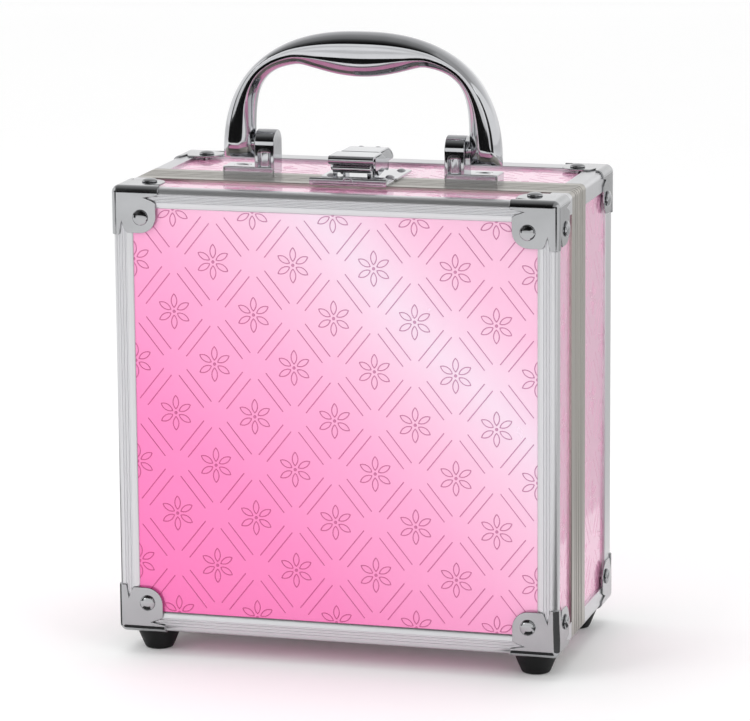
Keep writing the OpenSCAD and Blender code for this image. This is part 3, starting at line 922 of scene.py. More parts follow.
@dataclass(frozen=True)
class Finishes:
    """Every material of the case, made once."""

    foil: Material
    face_line: Material
    wall_foil: Material
    wall_line: Material
    satin: Material
    rim_satin: Material
    cover: Material
    chrome: Material
    steel: Material
    rubber: Material
    cloth: Material
    mirror: Material
    board: Material

    @classmethod
    def make(cls, case: CaseFrame) -> Finishes:
        """Builds the materials.

        Args:
            case: The case's planes, about which the drawn metal turns its streaks.

        Returns:
            The materials.
        """
        pink = PinkFoil()
        warm = SatinMetal(colour=shade(181, 177, 170), dark=shade(177, 173, 166))
        nickel = BrightPlate(colour=shade(180, 181, 183), roughness=0.1, ripple=0.12 * MM)
        return cls(
            foil=pink.build("pink foil"),
            # The pressed lines are a darker copy of the foil: painted shade.
            face_line=pink.build("pressed line", tint=pink.line_tint),
            wall_foil=pink.build("pink wall foil", on_wall=True),
            wall_line=pink.build("pressed wall line", on_wall=True, tint=pink.wall_line_tint),
            satin=SatinMetal().build("satin aluminium", case.mid_z),
            rim_satin=warm.build("warm satin aluminium", case.mid_z),
            cover=nickel.build("bright nickel"),
            chrome=BrightPlate(colour=shade(205, 206, 209), roughness=0.06).build("polished chrome"),
            steel=BrightPlate(colour=shade(186, 187, 188), roughness=0.22).build("plated steel"),
            rubber=BlackRubber().build("black rubber"),
            cloth=FlockedCloth().build("flocked cloth"),
            mirror=SilveredGlass().build("silvered glass"),
            board=FibreBoard().build("fibreboard"),
        )


@dataclass
class SubAssembly:
    """What every part of the case is built from: its planes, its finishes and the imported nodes."""

    case: CaseFrame
    finishes: Finishes
    nodes: Nodes

    def publish(self, solid: Solid, ticket: Ticket, *finishes: Material, sharp_deg: float = 40.0) -> None:
        """Turns a shape into a shown piece of the object.

        Args:
            solid: The shape, which is used up.
            ticket: Its name, body, slot and the node that it replaces.
            finishes: Its materials, by face index.
            sharp_deg: Edges that turn by more than this stay sharp in the shading.
        """
        bmesh.ops.remove_doubles(solid.bm, verts=solid.bm.verts[:], dist=MERGE_DISTANCE)
        mesh = bpy.data.meshes.new(ticket.name)
        solid.bm.to_mesh(mesh)
        solid.bm.free()
        for finish in finishes:
            mesh.materials.append(finish)
        mesh.shade_smooth()
        mesh.set_sharp_from_angle(angle=math.radians(sharp_deg))
        piece = bpy.data.objects.new(ticket.name, mesh)
        bpy.context.scene.collection.objects.link(piece)
        shading = piece.modifiers.new("even shading", "WEIGHTED_NORMAL")
        shading.keep_sharp = True
        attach(piece, ticket.body)
        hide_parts(ticket.node)
        LOG.info("%s rides on %s: %d faces", ticket.name, ticket.body, len(mesh.polygons))

    def dress(self, names: Iterable[str], finish: Material) -> None:
        """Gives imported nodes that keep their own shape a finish.

        Args:
            names: The nodes to dress.
            finish: Their material.
        """
        for name in names:
            mesh = self.nodes[name].data
            mesh.materials.clear()
            mesh.materials.append(finish)
            LOG.info("%s keeps its packed shape", name)

    def build(self) -> None:
        """Builds the whole sub-assembly."""
        raise NotImplementedError


# ---------- Panels ----------


@dataclass
class FoilPanels(SubAssembly):
    """The foil over the boards, pressed with a double-line trellis and six-petal rosettes."""

    pitch_across: float = 36.4 * MM
    pitch_up: float = 45.5 * MM
    pair_gap: float = 4.6 * MM
    crossing_gap: float = 5.6 * MM
    line_w: float = 0.5 * MM
    line_h: float = 0.22 * MM
    line_root: float = 0.05 * MM
    wall_relief: float = 0.35
    petals: int = 6
    petal_start: float = 1.7 * MM
    petal_end: float = 7.8 * MM
    petal_half_w: float = 1.3 * MM
    bud_r: float = 0.8 * MM
    angle_w: float = 9.0 * MM
    clearance: float = 0.05 * MM

    def bead(self) -> Solid:
        """Cross-section of a pressed line, in the XY plane with the foil along X."""
        foot, crest = self.line_w / 2, self.line_w / 5
        return Solid.flat([(-foot, -self.line_root), (foot, -self.line_root), (crest, self.line_h),
                           (-crest, self.line_h)])

    def straight(self, start: Vector, end: Vector) -> Solid:
        """A pressed line between two points of the foil's plane."""
        run = end - start
        lean = rotation(math.degrees(math.atan2(run.y, run.x)), "Z")
        lay = shift(start.x, start.y, 0) @ lean @ rotation(90, "X") @ rotation(90, "Y")
        return self.bead().thicken(run.length).moved(lay)

    def petal_edge(self) -> Solid:
        """One curved edge of a petal that points along +X.

        Returns:
            The edge, flat on the foil.
        """
        chord = (self.petal_end - self.petal_start) / 2
        bulge = self.petal_half_w
        radius = (chord * chord + bulge * bulge) / (2 * bulge)
        bend = 2 * math.degrees(math.asin(chord / radius))
        edge = self.bead().moved(shift(0, radius, 0) @ rotation(90, "Z") @ rotation(90, "X"))
        edge.moved(rotation(bend / 2, "Z"))
        bmesh.ops.delete(edge.bm, geom=edge.bm.faces[:], context="FACES_ONLY")
        edge.sweep(edge.bm.verts[:] + edge.bm.edges[:], (0, 0, 0), (0, 0, 1), -bend, 6)
        middle = (self.petal_start + self.petal_end) / 2
        return edge.close().moved(shift(middle, bulge - radius, 0))

    def rosette(self) -> Solid:
        """Petals round a bud, flat on the foil.

        Returns:
            The rosette about the origin.
        """
        petal = self.petal_edge()
        petal.add(petal.copy().moved(Matrix.Diagonal((1, -1, 1, 1))))
        flower = Solid()
        for place in range(self.petals):
            flower.add(petal.copy().moved(rotation(360 * (place + 0.5) / self.petals, "Z")))
        petal.bm.free()
        bud = [(0.0, -self.line_root), (self.bud_r, -self.line_root),
               (0.75 * self.bud_r, 0.8 * self.line_h), (0.0, self.line_h)]
        return flower.add(Solid.lathe(bud, 10))

    def lines(self, half_x: float, half_y: float) -> Solid:
        """The pairs of lines between the crossings that lie in reach of a rectangle.

        Args:
            half_x: Half of the rectangle's width.
            half_y: Half of its height.

        Returns:
            The whole lines, also where they leave the rectangle.
        """
        lines = Solid()
        wide, tall = self.pitch_across, self.pitch_up
        count = math.ceil(half_x / wide + half_y / tall) + 1
        stretch = math.hypot(wide, tall) / 2
        for lean in (-1, 1):
            run = Vector((lean * wide, tall)).normalized()
            aside = Vector((-run.y, run.x)) * self.pair_gap / 2
            for step, cell in itertools.product(range(-count, count + 1), range(-2 * count, 2 * count)):
                start = Vector(((step + 0.5 + lean * cell / 2) * wide, cell / 2 * tall))
                middle = start + run * stretch / 2
                if abs(middle.x) > half_x + wide / 4 or abs(middle.y) > half_y + tall / 4:
                    continue
                near, far = start + run * self.crossing_gap, start + run * (stretch - self.crossing_gap)
                lines.add(self.straight(near - aside, far - aside), self.straight(near + aside, far + aside))
        return lines

    def trellis(self, half_x: float, half_y: float) -> Solid:
        """The pressed pattern for a rectangle that is centred on the origin, open at each crossing.

        Args:
            half_x: Half of the rectangle's width.
            half_y: Half of its height.

        Returns:
            The lines and rosettes, cut off at the rectangle's edges.
        """
        pattern, flower = self.lines(half_x, half_y), self.rosette()
        columns, rows = math.ceil(2 * half_x / self.pitch_across), math.ceil(2 * half_y / self.pitch_up)
        for column, row in itertools.product(range(-columns, columns + 1), range(-rows, rows + 1)):
            x, y = column * self.pitch_across / 2, row * self.pitch_up / 2
            near = abs(x) < half_x + self.petal_end and abs(y) < half_y + self.petal_end
            if near and (column + row) % 2 == 0:
                pattern.add(flower.copy().moved(shift(x, y, 0)))
        flower.bm.free()
        for across, up in ((1, 0), (-1, 0), (0, 1), (0, -1)):
            pattern.cut((across * half_x, up * half_y, 0), (across, up, 0))
        # Finish 1 is the pressed-line foil, darkened with painted shade.
        return pattern.paint(1)

    def face(self, half: Half) -> None:
        """Builds the sheet over a half's face.

        Args:
            half: Lid or base.
        """
        case = self.case
        wide, tall = case.half_w - case.trim_t, case.half_h - case.trim_t
        sheet = Solid.rectangle((-wide, -tall), (wide, tall)).thicken(case.sheet_t)
        sheet.moved(shift(0, 0, -case.sheet_t))
        rim = case.trim_face_w + self.clearance
        sheet.add(self.trellis(case.half_w - rim, case.half_h - rim))
        facing = rotation(180 if half is Half.BASE else 0, "Z") @ rotation(90, "X")
        spot = shift(0, case.behind_face(half, case.trim_t), case.mid_z)
        ticket = Ticket(f"{half.word}_face_foil", half.word, "sheet", f"{half.word}_face_sheet")
        self.publish(sheet.moved(spot @ facing), ticket, self.finishes.foil, self.finishes.face_line)

    def walls(self, half: Half) -> None:
        """Builds the four sheets round a half.

        Args:
            half: Lid or base.
        """
        case = self.case
        outer, inner = case.trim_t, case.trim_t + case.sheet_t
        start, end = case.from_seam(half, outer), case.behind_face(half, inner)
        sheet = Outline(case).ring([(outer, start), (outer, end), (inner, end), (inner, start)], float)
        near = case.from_seam(half, case.rim_w + self.clearance)
        far = case.behind_face(half, case.trim_return[half] + self.clearance)
        middle = shift(0, (far + near) / 2, case.mid_z)
        halves = (case.half_w, case.half_h)
        for quarter in range(4):
            along, out = halves[quarter % 2] - self.angle_w, halves[1 - quarter % 2] - case.trim_t
            strip = self.trellis(abs(far - near) / 2, along)
            lay = middle @ rotation(90 * quarter, "Y") @ shift(0, 0, out) @ rotation(90, "Z")
            sheet.add(strip.moved(lay @ Matrix.Diagonal((1, 1, self.wall_relief, 1))))
        ticket = Ticket(f"{half.word}_wall_foil", half.word, "sheet", f"{half.word}_wall_sheets")
        self.publish(sheet, ticket, self.finishes.wall_foil, self.finishes.wall_line)

    def build(self) -> None:
        """Builds every panel."""
        for half in Half:
            self.face(half)
            self.walls(half)


# ---------- Metal edges ----------


@dataclass
class MetalEdges(SubAssembly):
    """The ribbed trims round the faces and the two rims along the parting line."""

    groove_w: float = 0.9 * MM
    groove_pitch: float = 1.3 * MM
    groove_depth: float = 0.35 * MM
    slope_w: float = 2.4 * MM
    slope_drop: float = 0.35 * MM
    rim_grooves: tuple[float, ...] = (3.65 * MM, 6.65 * MM)
    rim_lip: float = 3.0 * MM
    rim_gap: float = 0.3 * MM
    soft: float = 0.3 * MM

    def groove(self, centre: float) -> list[Point]:
        """Section of a groove, as distances along a surface and into it."""
        mouth, floor, depth = self.groove_w / 2, 0.22 * self.groove_w, self.groove_depth
        return [(centre - mouth, 0.0), (centre - floor, depth), (centre + floor, depth),
                (centre + mouth, 0.0)]

    def trim_section(self, half: Half) -> list[Point]:
        """Cross-section of a face trim, as pairs of inset and depth behind the face.

        Args:
            half: Lid or base.

        Returns:
            The section, in order.
        """
        case, soft = self.case, self.soft
        reach, metal, width = case.trim_return[half], case.trim_t, case.trim_face_w
        points = [(metal, reach), (soft, reach), (0.0, reach - soft)]
        points += arc((case.edge_r, case.edge_r), case.edge_r, 180, 270, 5)
        for step in (-1, 0, 1):
            points += self.groove(width / 2 + step * self.groove_pitch)
        return [*points, (width - self.slope_w, 0.0), (width - 2 * soft, self.slope_drop),
                (width, self.slope_drop + 2 * soft), (width, metal), (metal, metal)]

    def trim(self, half: Half) -> None:
        """Builds the trim round a half's face."""
        section = self.trim_section(half)
        ring = Outline(self.case).ring(section, lambda depth: self.case.behind_face(half, depth))
        ticket = Ticket(f"{half.word}_ribbed_trim", half.word, "trim", f"{half.word}_face_trim")
        self.publish(ring, ticket, self.finishes.satin)

    def rim_section(self, half: Half) -> list[Point]:
        """Cross-section of a rim, as pairs of inset and distance from the parting line.

        Args:
            half: Lid or base.

        Returns:
            The section, in order.
        """
        case, soft = self.case, self.soft
        metal, board_in, flange = case.trim_t, case.board_in, case.rim_flange_d
        inner = board_in + metal
        points = [(metal, case.rim_w), (soft, case.rim_w), (0.0, case.rim_w - soft)]
        for centre in reversed(self.rim_grooves):
            points += [(depth, along) for along, depth in reversed(self.groove(centre))]
        points += [(0.0, 2 * soft), (2 * soft, 0.0)]
        if half is Half.LID:
            points += [(inner - soft, 0.0), (inner, soft)]
        else:
            lip_out, tip = inner + self.rim_gap, -self.rim_lip
            inner = lip_out + metal
            points += [(lip_out, 0.0), (lip_out, tip + soft), (lip_out + soft, tip), (inner - soft, tip),
                       (inner, tip + soft)]
        return [*points, (inner, flange), (board_in, flange), (board_in, metal), (metal, metal)]

    def rim(self, half: Half) -> None:
        """Builds a half's rim."""
        section = self.rim_section(half)
        ring = Outline(self.case).ring(section, lambda along: self.case.from_seam(half, along))
        ticket = Ticket(f"{half.word}_grooved_rim", half.word, "trim", f"{half.word}_rim")
        self.publish(ring, ticket, self.finishes.rim_satin)

    def build(self) -> None:
        """Builds the trims and rims and dresses the edge angles."""
        for half in Half:
            self.trim(half)
            self.rim(half)
        self.dress([f"{half.word}_edge_angles" for half in Half], self.finishes.satin)


# ---------- Corners and feet ----------


@dataclass
class CornerCovers(SubAssembly):
    """Pressed covers over the eight corners, with domed rivets through them."""

    metal: float = 0.8 * MM
    lip: float = 0.9 * MM
    slit_r: float = 0.4 * MM
    leg: float = 21.0 * MM
    leg_tip_h: float = 3.1 * MM
    slit_end: Point = (15.0 * MM, 4.2 * MM)
    lobe: float = 20.0 * MM
    lobe_r: float = 7.5 * MM
    lobe_start: float = 6.6 * MM
    rivet_inset: float = 13.0 * MM
    rivet_r: float = 3.5 * MM
    rivet_h: float = 1.6 * MM
    rivet_rim: float = 0.35 * MM
    shank_r: float = 1.5 * MM
    soft: float = 0.28 * MM
    steps: int = 6

    def leaf(self) -> Solid:
        """One face of a cover in the plane y = -metal, with the bend along its X edge.

        Returns:
            The face and its bend, without thickness.
        """
        bend, lip, lobe, slit_r = self.case.edge_r, self.lip, self.lobe, self.slit_r
        lower = [(self.leg, bend), (self.leg, self.leg_tip_h), self.slit_end,
                 (lobe - lip, self.slit_end[1] + 1.5 * MM), (lobe, self.lobe_start)]
        upper = [(v, u) for u, v in reversed(lower)]
        rounds = [0, 0, slit_r, 0, lip, 0, self.lobe_r, 0, lip, 0, slit_r, 0]
        face = Solid.flat([(bend, bend), *lower, (lobe, lobe), *upper], rounds)
        face.moved(shift(0, -self.metal, 0) @ rotation(90, "X"))
        fold = [e for e in face.bm.edges if all(abs(v.co.z - bend) < 1e-7 for v in e.verts)]
        ends = list({v for e in fold for v in e.verts})
        return face.sweep(ends + fold, (0, bend, bend), (1, 0, 0), 90, self.steps)

    def vertex(self) -> Solid:
        """The round tip where the three bends meet."""
        tip, bend = Solid(), self.case.edge_r
        start, centre = tip.bm.verts.new((bend, -self.metal, bend)), (bend, bend, bend)
        tip.sweep([start], centre, (1, 0, 0), 90, self.steps)
        return tip.sweep(tip.bm.verts[:] + tip.bm.edges[:], centre, (0, 0, 1), -90, self.steps)

    def cover(self) -> Solid:
        """A whole cover about the origin, with the case in the positive octant.

        Returns:
            The cover.
        """
        shell, leaf = self.vertex(), self.leaf()
        for place in range(3):
            shell.add(leaf.copy().moved(rotation(120 * place, Vector((1, 1, 1)))))
        leaf.bm.free()
        bmesh.ops.remove_doubles(shell.bm, verts=shell.bm.verts[:], dist=MERGE_DISTANCE)
        bmesh.ops.recalc_face_normals(shell.bm, faces=shell.bm.faces[:])
        largest = max(shell.bm.faces, key=lambda f: f.calc_area())
        if largest.normal.dot(Vector((1, 1, 1))) > 0:
            bmesh.ops.reverse_faces(shell.bm, faces=shell.bm.faces[:])
        bmesh.ops.solidify(shell.bm, geom=shell.bm.faces[:], thickness=self.metal)
        return shell.soften(self.soft, 3, 50.0)

    def rivet(self) -> Solid:
        """A domed rivet that stands on z = 0, with its shank below.

        Returns:
            The rivet.
        """
        flat = (self.rivet_h - self.rivet_rim) / self.rivet_r
        dome = [(r, self.rivet_rim + z * flat) for r, z in arc((0.0, 0.0), self.rivet_r, 0, 90, 10)]
        foot = [(0.0, -self.case.board_in), (self.shank_r, -self.case.board_in), (self.shank_r, 0.0),
                (self.rivet_r - 0.6 * MM, 0.0), (self.rivet_r - 0.15 * MM, 0.12 * MM)]
        return Solid.lathe([*foot, *dome], 28)

    def rivets(self, half: Half) -> None:
        """Builds every corner rivet of a half as one piece.

        Args:
            half: Lid or base.
        """
        inset, out = self.rivet_inset, -self.metal
        on_face = shift(inset, out, inset) @ rotation(90, "X")
        on_side = shift(out, inset, inset) @ rotation(-90, "Y")
        on_top = shift(inset, inset, out) @ rotation(180, "X")
        rivet, group = self.rivet(), Solid()
        for side, level in itertools.product(Side, Level):
            for spot in [on_face, on_side] + [on_top] * (level is Level.TOP):
                group.add(rivet.copy().moved(self.case.corner(side, half, level) @ spot))
        rivet.bm.free()
        ticket = Ticket(f"{half.word}_domed_rivets", half.word, "corner", f"{half.word}_corner_rivets")
        self.publish(group, ticket, self.finishes.cover)

    def build(self) -> None:
        """Builds the covers and rivets."""
        pattern = self.cover()
        for half in Half:
            for level, side in itertools.product(Level, Side):
                node = f"{half.word}_corner_{level.word}_{side.word}"
                shell = pattern.copy().moved(self.case.corner(side, half, level))
                self.publish(shell, Ticket(f"{node}_cover", half.word, "corner", node), self.finishes.cover)
            self.rivets(half)
        pattern.bm.free()


@dataclass
class RubberFeet(SubAssembly):
    """Four tapered rubber feet, each screwed up through its middle."""

    bottom_r: float = 6.2 * MM
    recess_r: float = 4.0 * MM
    recess_chamfer: float = 0.4 * MM
    hole_r: float = 1.6 * MM
    floor: float = 4.0 * MM
    soft: float = 1.1 * MM

    def foot(self, node: str) -> Solid:
        """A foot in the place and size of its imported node.

        Args:
            node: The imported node's name.

        Returns:
            The foot.
        """
        low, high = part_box(node)
        top, top_r = high.z, (high.x - low.x) / 2
        skirt = [(self.hole_r, top), (top_r - 0.4 * MM, top), (top_r, top - 0.4 * MM),
                 (top_r - 0.5 * MM, top - 1.4 * MM), (self.bottom_r + 0.4 * MM, self.soft),
                 (self.bottom_r - 0.1 * MM, 0.35 * MM), (self.bottom_r - self.soft, 0.0)]
        recess = [(self.recess_r + self.recess_chamfer, 0.0), (self.recess_r, self.recess_chamfer),
                  (self.recess_r, top - self.floor), (self.hole_r, top - self.floor),
                  (self.hole_r, top)]
        middle = (low + high) / 2
        return Solid.lathe([*skirt, *recess], 40).moved(shift(middle.x, middle.y, 0))

    def build(self) -> None:
        """Builds the feet and dresses their screws."""
        for half, end in ((Half.LID, "front"), (Half.BASE, "rear")):
            for side in Side:
                node = f"foot_{end}_{side.word}"
                ticket = Ticket(f"{node}_rubber", half.word, "foot", node)
                self.publish(self.foot(node), ticket, self.finishes.rubber)
        self.dress(["front_foot_screws", "rear_foot_screws"], self.finishes.steel)


# ---------- Handle ----------


@dataclass
class CarryHandle(SubAssembly):
    """The polished bow, its two cast brackets and the pins between them."""

    outer_power: float = 2.38
    inner_power: float = 4.8
    grip_rise: float = 50.5 * MM
    belly_drop: float = 5.6 * MM
    belly_half: float = 28.5 * MM
    clear_half: float = 49.0 * MM
    crease_half: float = 33.0 * MM
    crease_span: Point = (0.2, 0.28)
    crease_depth: float = 0.015
    leg_bulge: float = 0.35
    face_mid: float = 0.2
    foot_limit: float = 0.985
    foot_deg: tuple[float, ...] = (0.3, 1.0, 2.0, 3.3, 4.8)
    stations: int = 84
    upright_t: float = 9.0 * MM
    pin_inset: float = 1.6 * MM
    collar_gap: float = 0.12 * MM
    collar_step: float = 1.0 * MM
    foot_t: float = 4.0 * MM
    foot_reach: float = 15.0 * MM
    pocket_rim: float = 1.0 * MM
    pocket_round: float = 2.2 * MM
    pocket_steps: tuple[Point, ...] = ((0.35 * MM, 0.3 * MM), (0.25 * MM, 0.9 * MM), (0.6 * MM, 0.5 * MM),
                                       (0.8 * MM, 0.25 * MM))
    screw_head_r: float = 4.0 * MM
    screw_r: float = 2.05 * MM

    def __post_init__(self) -> None:
        """Reads the places of the bow and the brackets from the frame."""
        low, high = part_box("handle_bow")
        self.half_w, self.base_z = high.x, low.z
        self.rise = high.z - low.z
        self.depth_r = (high.y - low.y) / 2
        self.y = (low.y + high.y) / 2
        self.pivot_z = low.z + self.depth_r
        self.inner_rise = self.case.top_z + self.grip_rise - low.z
        bracket_low, bracket_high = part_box("handle_bracket_right")
        self.bracket_start = bracket_low.x
        self.bracket_half_d = (bracket_high.y - bracket_low.y) / 2

    def edge_points(self, angle: float) -> tuple[Vector, Vector]:
        """Where a ray from between the legs meets the bow's inner and outer edges.

        Args:
            angle: The ray's angle from +X, in the plane of the bow.

        Returns:
            The inner and the outer point, as X and Z.
        """
        ray = Vector((math.cos(angle), math.sin(angle)))

        def curve(half_w: float, rise: float, power: float) -> Vector:
            """Where the ray meets half of a squared-off oval."""
            return ray * ((abs(ray.x) / half_w) ** power + (ray.y / rise) ** power) ** (-1 / power)

        inner = curve(self.clear_half, self.inner_rise, self.inner_power)
        outer = curve(self.half_w, self.rise, self.outer_power)
        if abs(inner.x) < self.belly_half:
            inner.y -= self.belly_drop * (1 - (inner.x / self.belly_half) ** 2) ** 1.2
        base = Vector((0, self.base_z))
        return inner + base, outer + base

    def section(self) -> list[Point]:
        """Half of the bow's cross-section, from the inner edge to the outer one.

        Returns:
            Pairs of place from -1 at the inner edge to 1 at the outer one, and share of the depth.
        """
        return [(-1.0, 0.0), (-0.99, 0.2), (-0.94, 0.4), (-0.84, 0.58), (-0.69, 0.73), (-0.52, 0.84),
                (-0.35, 0.93), (-0.24, 0.975), (-0.17, 0.992), (-0.1, 0.998), (0.05, 1.0), (0.19, 1.0),
                (0.24, 0.985), (0.29, 1.0), (0.42, 0.998), (0.49, 0.99), (0.57, 0.965), (0.68, 0.9),
                (0.79, 0.785), (0.89, 0.61), (0.96, 0.38), (0.99, 0.19), (1.0, 0.0)]

    def bow(self) -> Solid:
        """The bow as one lofted body.

        Returns:
            The bow in place.
        """
        front = self.section()
        loft = Loft(Solid.flat([*front, *[(s, -y) for s, y in reversed(front[1:-1])]]))

        def station(angle: float) -> Placing:
            """Placing of the section where a ray crosses the bow.

            Args:
                angle: The ray's angle from +X.

            Returns:
                The placing.
            """
            inner, outer = self.edge_points(angle)
            middle, half = (inner + outer) / 2, (outer - inner) / 2
            crease = max(0.0, 1 - abs(middle.x) / self.crease_half)
            bulge = self.leg_bulge * (abs(middle.x) / self.half_w) ** 2

            def place(home: Vector) -> Vector:
                """Sinks the crease along the grip, and rounds the leg's end below the pivot."""
                spot = middle + half * home.x
                share = home.y * (1 - bulge * (home.x - self.face_mid) ** 2)
                if self.crease_span[0] < home.x < self.crease_span[1]:
                    share /= 1 - self.crease_depth * (1 - crease)
                below = min(max(0.0, (self.pivot_z - spot.y) / self.depth_r), self.foot_limit)
                depth = self.depth_r * share * math.sqrt(1 - below**2)
                return Vector((spot.x, self.y - depth, spot.y))

            return place

        feet = [math.radians(a) for a in self.foot_deg]
        span = math.pi - 2 * feet[-1]
        arch = [feet[-1] + span * i / self.stations for i in range(1, self.stations)]
        angles = [*feet, *arch, *[math.pi - a for a in reversed(feet)]]
        loft.begin(station(angles[0]))
        for angle in angles[1:]:
            loft.reach(station(angle))
        return loft.close()

    def bracket_foot(self) -> Solid:
        """The plate under the right bracket, with its countersunk hole.

        Returns:
            The plate, with its foot at z = 0.
        """
        end = self.bracket_start + self.upright_t + self.foot_reach
        start = self.bracket_start + 0.06 * MM
        half_d, middle = self.bracket_half_d, (start + end) / 2
        centre = Vector((end - self.foot_reach / 2, 0, 0))
        plate = Loft(Solid.rectangle((start, -half_d), (end, half_d), 1.2 * MM))
        top, rim, head_r = self.foot_t, 0.45 * MM, self.screw_head_r

        def edge(inset: float, z: float) -> Placing:
            """Placing of the plate's outline, drawn in."""
            across, deep = 1 - inset / (end - middle), 1 - inset / half_d
            return lambda home: Vector(((home.x - middle) * across + middle, home.y * deep, z))

        def hole(radius: float, z: float) -> Placing:
            """Placing of the outline on a circle round the screw."""
            return lambda home: centre + (home - centre).normalized() * radius + Vector((0, 0, z))

        plate.begin(edge(0.0, 0.0))
        for place in (edge(0.0, top - rim), edge(0.3 * rim, top - 0.3 * rim), edge(rim, top),
                      hole(head_r + 0.2 * MM, top), hole(head_r, top - 0.2 * MM),
                      hole(self.screw_r, top - 2.0 * MM), hole(self.screw_r, 0.0)):
            plate.reach(place)
        return plate.join_ends()

    def bracket_upright(self) -> Solid:
        """The right upright that carries the pivot, with a dished pocket in front.

        Returns:
            The upright, with its foot near z = 0.
        """
        barrel, rise = self.bracket_half_d - 0.2 * MM, self.pivot_z - self.case.top_z
        foot, shoulder, crown = 0.4 * MM, rise - 0.6 * MM, rise + barrel
        points = [(barrel, foot), (barrel, crown), (-barrel, crown), (-barrel, shoulder), (-barrel, foot)]
        rounds = [0.0, barrel - 0.02 * MM, barrel - 0.02 * MM, 0.0, 0.0]
        upright = Solid.flat(points, rounds).thicken(self.upright_t)
        upright.moved(shift(self.bracket_start, 0, 0) @ rotation(90, "Z") @ rotation(90, "X"))
        upright.soften(0.5 * MM, 3)
        front = self.widest_front(upright)
        bmesh.ops.inset_region(
            upright.bm, faces=[front], thickness=self.pocket_rim, depth=0.0, use_even_offset=True
        )
        upright.round_corners(front.verts[:], self.pocket_round, 5)
        front = self.widest_front(upright)
        for width, depth in self.pocket_steps:
            bmesh.ops.inset_region(
                upright.bm, faces=[front], thickness=width, depth=-depth, use_even_offset=True
            )
        return upright

    def widest_front(self, solid: Solid) -> bmesh.types.BMFace:
        """The largest face of a solid that looks forwards."""
        solid.bm.normal_update()
        return max((f for f in solid.bm.faces if f.normal.y < -0.99), key=lambda f: f.calc_area())

    def bracket(self, side: Side) -> None:
        """Builds the bracket on one side."""
        whole = self.bracket_foot().add(self.bracket_upright())
        whole.moved(shift(0, self.y, self.case.top_z) @ Matrix.Diagonal((side.value, 1, 1, 1)))
        node = f"handle_bracket_{side.word}"
        self.publish(whole, Ticket(f"{node}_casting", "base", "handle", node), self.finishes.chrome)

    def pins(self) -> None:
        """Builds the pivot pins with a collar in the gap beside each leg."""
        low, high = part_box("handle_pins")
        collar_r, upright_end = (high.z - low.z) / 2, self.bracket_start + self.upright_t
        group = Solid()
        for side in Side:
            start, pin_r = self.bracket_start + self.pin_inset, collar_r - self.collar_step
            near, far = upright_end + self.collar_gap, self.clear_half - self.collar_gap
            pin = Solid.bar(start, high.x, pin_r, 0.3 * MM).add(Solid.bar(near, far, collar_r, 0.25 * MM))
            group.add(pin.moved(shift(0, self.y, self.pivot_z) @ Matrix.Diagonal((side.value, 1, 1, 1))))
        ticket = Ticket("handle_pivot_pins", "handle", "handle", "handle_pins")
        self.publish(group, ticket, self.finishes.chrome)

    def screws(self) -> None:
        """Builds the countersunk bracket screws with their dished heads."""
        top, depth = self.foot_t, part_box("handle_bracket_screws")[0].z - self.case.top_z
        shank_r, head_r = self.screw_r - 0.05 * MM, self.screw_head_r
        profile = [(0.0, depth), (shank_r, depth), (shank_r, top - 2.05 * MM),
                   (head_r - 0.1 * MM, top - 0.25 * MM), (head_r - 0.35 * MM, top - 0.02 * MM),
                   (2.6 * MM, top - 0.1 * MM), (1.6 * MM, top - 0.7 * MM), (0.0, top - 1.1 * MM)]
        x = self.bracket_start + self.upright_t + self.foot_reach / 2
        group = Solid()
        for side in Side:
            group.add(Solid.lathe(profile, 28).moved(shift(side.value * x, self.y, self.case.top_z)))
        ticket = Ticket("bracket_screw_heads", "base", "handle", "handle_bracket_screws")
        self.publish(group, ticket, self.finishes.chrome)

    def build(self) -> None:
        """Builds the bow, brackets, pins and screws."""
        ticket = Ticket("polished_bow", "handle", "handle", "handle_bow")
        self.publish(self.bow(), ticket, self.finishes.chrome, sharp_deg=50.0)
        for side in Side:
            self.bracket(side)
        self.pins()
        self.screws()


# ---------- Latch ----------


